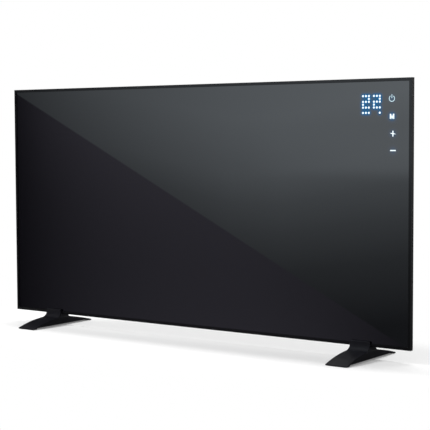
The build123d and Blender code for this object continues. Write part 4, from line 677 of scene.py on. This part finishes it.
def rocker_marks():
    """White line and ring on the two halves of the rocker's face."""
    paint = surface(
        "mark_paint", (0.62, 0.62, 0.60), (0.72, 0.72, 0.70), roughness=(0.45, 0.6), grain_mm=0.2,
        relief_mm=0.004, patch_mm=3.0)
    line = [rounded_outline(LINE_WIDTH, LINE_LENGTH, LINE_CORNER)]
    ring = [circle(RING_OUTER, 32), circle(RING_INNER, 32)[::-1]]
    for name, outlines, turn, way in (("mark_on", line, 0.0, 1), ("mark_off", ring, ROCKER_TURN, -1)):
        out, up = tilted(turn), tilted(turn + pi / 2)
        middle = ROCKER_PIN + ROCKER_CREST + way * MARK_REACH * up + FILM_STEP * out
        printed(name, outlines, facing((0, 1, 0), up, middle), paint, "rocker")


# Card that the glass reflects

CARD_GAP = 0.125  # from the glass
CARD_MARGIN = 0.15  # round the panel, as the camera sees the card in the glass
CARD_FOOT = 0.001  # height of its lower edge above the floor
# Its light, over shares of the panel's width and height from the panel's lower left corner
EDGE_LEFT, EDGE_SLOPE = 0.9879, -0.9898  # height of the slanting edge at the left, and its rise
EDGE_BLUR = 0.003  # on either side of the edge
MIRROR_LEFT, MIRROR_SLOPE = 0.0502, -0.0085  # share of the light that the glass reflects, likewise
UPPER_LIGHT, UPPER_TINT = 0.1120, (0.904, 1.0, 1.076)  # above the edge
UPPER_DARK, UPPER_FULL = -0.165, 1.306  # from left to right, where its light would be none and full
UPPER_SHADES = (  # height, and the light there
    (0.0, 0.06), (0.25, 0.18), (0.4, 0.33), (0.52, 0.49), (0.64, 0.73), (0.74, 0.86), (0.86, 1.0),
)
BEND_LEFT, SAG_LEFT = 0.60, -0.358  # left of here the shades move up, by this much over the width
BEND_RIGHT, SAG_RIGHT = 0.72, -0.369  # and right of here
BAND_RISE, BAND_FALL = (0.61, 0.68), (0.66, 0.83)  # brighter band across the upper light
BAND_START, BAND_SLOPE = -0.53, 0.85  # its gain at the left, and the rise of that
LOWER_LIGHT, LOWER_TINT = 0.0162, (1.04, 1.0, 1.25)  # below the edge
LOWER_ENDS, LOWER_MIDDLE = (-0.034, 1.08), 0.595  # from left to right, where its light ends and peaks
LOWER_CALM, LOWER_CURVE = 0.18, 2.3  # height where it is weakest, and how fast it grows from there

# Floor, surroundings and side cards

FLOOR_SIZE = 30.0
FLOOR_GREY = 0.80
FLOOR_CLOUDS_MM, FLOOR_CLOUD_GAIN = 300.0, 1.01
FLOOR_LIFT = 0.17  # light that the floor gives by itself to the eye, so that it comes out white
FLOOR_NEAR, FLOOR_FAR = 0.70, 1.0  # where the floor starts to turn into plain white, and where it ends
FLOOR_SQUEEZE = 0.35  # the same limits from front to back, as a share
AMBIENT = 0.55  # light of the surroundings on the object, which itself reflects them as white


def standing(start, end, foot, top):
    """Corners of an upright card over a line on the floor."""
    return [(*start, foot), (*end, foot), (*end, top), (*start, top)]


def lying(left, right, front, rear, height):
    """Corners of a card that lies flat."""
    return [(left, front, height), (right, front, height), (right, rear, height), (left, rear, height)]


SIDE_CARDS = {  # corners, light at the floor, and gain per metre of height
    "right_wing": (standing((0.67, 0.06), (0.67, 3.0), 0.0, 1.5), 0.08, 0.80),
    "right_strip": (standing((2.2, -0.9), (2.2, -0.3), 0.0, 1.0), 3.0, 12.0),
    "left_wing": (standing((-0.62, 0.0), (-1.8, 0.0), 0.0, 1.2), 0.03, 0.0),
    "floor_flag": (lying(-0.43, 0.66, -0.11, 0.6, 0.002), 0.05, 0.0),
    "leg_light": (standing((0.12, -0.007), (0.446, -0.007), 0.05, 0.45), 0.48, 0.0),
}
ONE_SIDED_CARD = "leg_light"  # it stands right before the glass, which looks through its back


class Sheet(Graph):
    """Node tree of a stage material or of the world, round its output only."""

    def __init__(self, owner, output="OutputMaterial"):
        owner.use_nodes = True
        self.material, self.tree = owner, owner.node_tree
        self.tree.nodes.clear()
        self.output = self.node(output)


def reflection_card(name, corners, material):
    """Flat card that only reflections see."""
    mesh = bpy.data.meshes.new(name)
    mesh.from_pydata(corners, [], [(0, 1, 2, 3)])
    card = bpy.data.objects.new(name, mesh)
    bpy.context.scene.collection.objects.link(card)
    card.visible_camera = card.visible_diffuse = card.visible_shadow = False
    card.visible_transmission = card.visible_volume_scatter = False
    dress(card, material)
    return card


def studio_card():
    """Card in front of the glass that only its reflections see: a studio wall with a slanting edge.
    Each point of the card takes its shade from the panel's point that mirrors it to the camera."""
    mirror = Vector((CAMERA_PLACE.x, 2 * GLASS_FRONT - CAMERA_PLACE.y, CAMERA_PLACE.z))
    card_y = GLASS_FRONT - CARD_GAP
    ratio = (mirror.y - card_y) / (mirror.y - GLASS_FRONT)
    left, right = PANEL_LEFT - CARD_MARGIN, PANEL_RIGHT + CARD_MARGIN
    low, high = mirror.z + (CARD_FOOT - mirror.z) / ratio, PANEL_TOP + CARD_MARGIN
    places = [(left, low), (right, low), (right, high), (left, high)]
    corners = [
        (mirror.x + (x - mirror.x) * ratio, card_y, mirror.z + (z - mirror.z) * ratio) for x, z in places
    ]
    card = reflection_card("studio_card", corners, card_material())
    layer = card.data.uv_layers.new(name="panel")
    for corner, (x, z) in zip(layer.data, places):
        corner.uv = (
            (x - PANEL_LEFT) / (PANEL_RIGHT - PANEL_LEFT), (z - PANEL_BOTTOM) / (PANEL_TOP - PANEL_BOTTOM)
        )


def held(graph, value):
    """Value that stays between 0 and 1."""
    return graph.spread(value, 0.0, 1.0, start=0.0, end=1.0)


def falling(graph, value, start, end):
    """1 at the start, 0 at the end."""
    return graph.spread(value, 1.0, 0.0, start=start, end=end)


def arch(graph, value):
    """1 where the value is 0, and 0 where it is 1."""
    return graph.reckon("SUBTRACT", 1.0, graph.times(value, value))


def linear(graph, value, slope, start):
    """Straight line over a value."""
    return graph.reckon("MULTIPLY_ADD", value, slope, start)


def beyond(graph, a, b):
    """How far one value is past another, or 0."""
    return graph.reckon("MAXIMUM", graph.reckon("SUBTRACT", a, b), 0.0)


def upper_light(graph, u, v):
    """Light above the slanting edge: shades that rise with height, and a band that grows to the right."""
    across = arch(graph, falling(graph, u, UPPER_DARK, UPPER_FULL))
    shifted = linear(graph, beyond(graph, u, BEND_RIGHT), SAG_RIGHT, v)
    shifted = linear(graph, beyond(graph, BEND_LEFT, u), SAG_LEFT, shifted)
    ramp = graph.node("ValToRGB")
    elements = ramp.color_ramp.elements
    while len(elements) < len(UPPER_SHADES):
        elements.new(0.5)
    for element, (place, value) in zip(elements, UPPER_SHADES):
        element.position, element.color = place, (value, value, value, 1.0)
    graph.join(shifted, ramp.inputs["Fac"])
    light = graph.times(graph.times(across, UPPER_LIGHT), ramp.outputs["Color"])
    band = graph.times(graph.spread(v, 0.0, 1.0, *BAND_RISE, smooth=True), falling(graph, v, *BAND_FALL))
    gain = graph.reckon("MAXIMUM", linear(graph, u, BAND_SLOPE, BAND_START), 0.0)
    return graph.times(light, linear(graph, band, gain, 1.0))


def lower_light(graph, u, v):
    """Light below the slanting edge: strongest in the middle, and it grows with height."""
    left_end, right_end = LOWER_ENDS
    to_left = falling(graph, u, left_end, LOWER_MIDDLE)
    to_right = graph.spread(u, 0.0, 1.0, start=LOWER_MIDDLE, end=right_end)
    across = arch(graph, graph.reckon("MAXIMUM", to_left, to_right))
    height = graph.reckon("SUBTRACT", v, LOWER_CALM)
    upward = linear(graph, graph.times(height, height), LOWER_CURVE, 1.0)
    return graph.times(graph.times(across, upward), LOWER_LIGHT)


def card_material():
    """Emission of the card: what the glass shows, over the share that glass reflects."""
    graph = Sheet(bpy.data.materials.new("studio_card"))
    graph.material.cycles.emission_sampling = "NONE"
    split = graph.node("SeparateXYZ")
    graph.join(graph.node("UVMap", uv_map="panel").outputs["UV"], split.inputs["Vector"])
    u, v = held(graph, split.outputs["X"]), held(graph, split.outputs["Y"])
    over_edge = graph.reckon("SUBTRACT", v, linear(graph, u, EDGE_SLOPE, EDGE_LEFT))
    side = graph.spread(over_edge, 0.0, 1.0, -EDGE_BLUR, EDGE_BLUR, smooth=True)
    share = linear(graph, u, MIRROR_SLOPE, MIRROR_LEFT)
    colours = []
    for value, tint in ((lower_light(graph, u, v), LOWER_TINT), (upper_light(graph, u, v), UPPER_TINT)):
        scale = graph.node("VectorMath", operation="SCALE")
        scale.inputs[0].default_value = tint
        graph.join(graph.reckon("DIVIDE", value, share), scale.inputs["Scale"])
        colours.append(scale.outputs["Vector"])
    light = graph.node("Emission")
    graph.join(graph.mix(side, colours[0], colours[1]), light.inputs["Color"])
    graph.join(light.outputs["Emission"], graph.output.inputs["Surface"])
    return graph.material


def from_front(graph, shader):
    """Shader on the front of a card whose back is clear."""
    sides = graph.node("MixShader")
    graph.join(graph.node("NewGeometry").outputs["Backfacing"], sides.inputs["Fac"])
    graph.join(shader, sides.inputs[1])
    graph.join(graph.node("BsdfTransparent").outputs["BSDF"], sides.inputs[2])
    return sides.outputs["Shader"]


def side_cards():
    """Dim and bright cards round the heater that shape the sides and edges."""
    for name, (corners, low, rise) in SIDE_CARDS.items():
        graph = Sheet(bpy.data.materials.new(name))
        graph.material.cycles.emission_sampling = "NONE"
        split = graph.node("SeparateXYZ")
        graph.join(graph.node("TexCoord").outputs["Object"], split.inputs["Vector"])
        light = graph.node("Emission")
        graph.join(linear(graph, split.outputs["Z"], rise, low), light.inputs["Strength"])
        shown = light.outputs["Emission"]
        if name == ONE_SIDED_CARD:
            shown = from_front(graph, shown)
        graph.join(shown, graph.output.inputs["Surface"])
        reflection_card(name, corners, graph.material)


def floor():
    """Pale floor that is white to the camera and keeps the shadow."""
    graph = Sheet(bpy.data.materials.new("pale_floor"))
    graph.material.cycles.emission_sampling = "NONE"
    graph.place = graph.node("TexCoord").outputs["Object"]
    paint = graph.node("BsdfDiffuse")
    grey = (FLOOR_GREY,) * 3
    shade = graph.mix(graph.noise(FLOOR_CLOUDS_MM), grey, toned(grey, FLOOR_CLOUD_GAIN))
    graph.join(shade, paint.inputs["Color"])
    lift = graph.node("Emission")
    graph.join(seen_white(graph, FLOOR_LIFT, 0.0), lift.inputs["Strength"])
    both = graph.node("AddShader")
    graph.join(paint.outputs["BSDF"], both.inputs[0])
    graph.join(lift.outputs["Emission"], both.inputs[1])
    distance = graph.node("VectorMath", operation="LENGTH")
    graph.join(graph.scaled(1 / MM, (1, FLOOR_SQUEEZE, 1)), distance.inputs[0])
    far = graph.spread(distance.outputs["Value"], 0.0, 1.0, FLOOR_NEAR, FLOOR_FAR, smooth=True)
    fade = graph.node("MixShader")
    graph.join(graph.times(far, seen_white(graph, 1.0, 0.0)), fade.inputs["Fac"])
    graph.join(both.outputs["Shader"], fade.inputs[1])
    graph.join(graph.node("Emission").outputs["Emission"], fade.inputs[2])
    graph.join(fade.outputs["Shader"], graph.output.inputs["Surface"])
    half = FLOOR_SIZE / 2
    mesh = bpy.data.meshes.new("floor")
    mesh.from_pydata(lying(-half, half, -half, half, 0), [], [(0, 1, 2, 3)])
    item = bpy.data.objects.new("floor", mesh)
    bpy.context.scene.collection.objects.link(item)
    dress(item, graph.material)


def seen_white(graph, seen, hidden):
    """One strength where the camera, glass or metal look, and another for the light itself."""
    path = graph.node("LightPath")
    looked = graph.reckon("MAXIMUM", path.outputs["Is Camera Ray"], path.outputs["Is Glossy Ray"])
    looked = graph.reckon("MAXIMUM", looked, path.outputs["Is Transmission Ray"])
    return linear(graph, looked, seen - hidden, hidden)


def world():
    """White surroundings to the eye, and a softer even light on the object."""
    made = bpy.data.worlds.new("studio")
    graph = Sheet(made, "OutputWorld")
    back = graph.node("Background")
    graph.join((1.0, 1.0, 1.0, 1.0), back.inputs["Color"])
    graph.join(seen_white(graph, 1.0, AMBIENT), back.inputs["Strength"])
    graph.join(back.outputs["Background"], graph.output.inputs["Surface"])
    bpy.context.scene.world = made


def softbox(name, place, aim, size, watts):
    """Area lamp turned to a point."""
    data = bpy.data.lights.new(name, "AREA")
    data.shape, data.size, data.size_y, data.energy = "RECTANGLE", size[0], size[1], watts
    item = bpy.data.objects.new(name, data)
    item.location = place
    item.rotation_euler = (Vector(aim) - Vector(place)).to_track_quat("-Z", "Y").to_euler()
    bpy.context.scene.collection.objects.link(item)
    return item


def lights():
    """Large key from the front left, and a long light above that is a little behind the panel."""
    key = softbox("key_softbox", place=(-2.4, -1.6, 3.0), aim=(0.0, 0.0, 0.2), size=(1.6, 1.3), watts=95.0)
    key.visible_glossy = False
    softbox("top_softbox", place=(0.0, 0.41, 2.9), aim=(0.0, 0.0, 0.3), size=(2.4, 0.3), watts=43.0)


bpy.context.scene.view_settings.view_transform = "Standard"
camera()
dress_nodes(finishes())
display()
rocker_marks()
studio_card()
side_cards()
floor()
world()
lights()
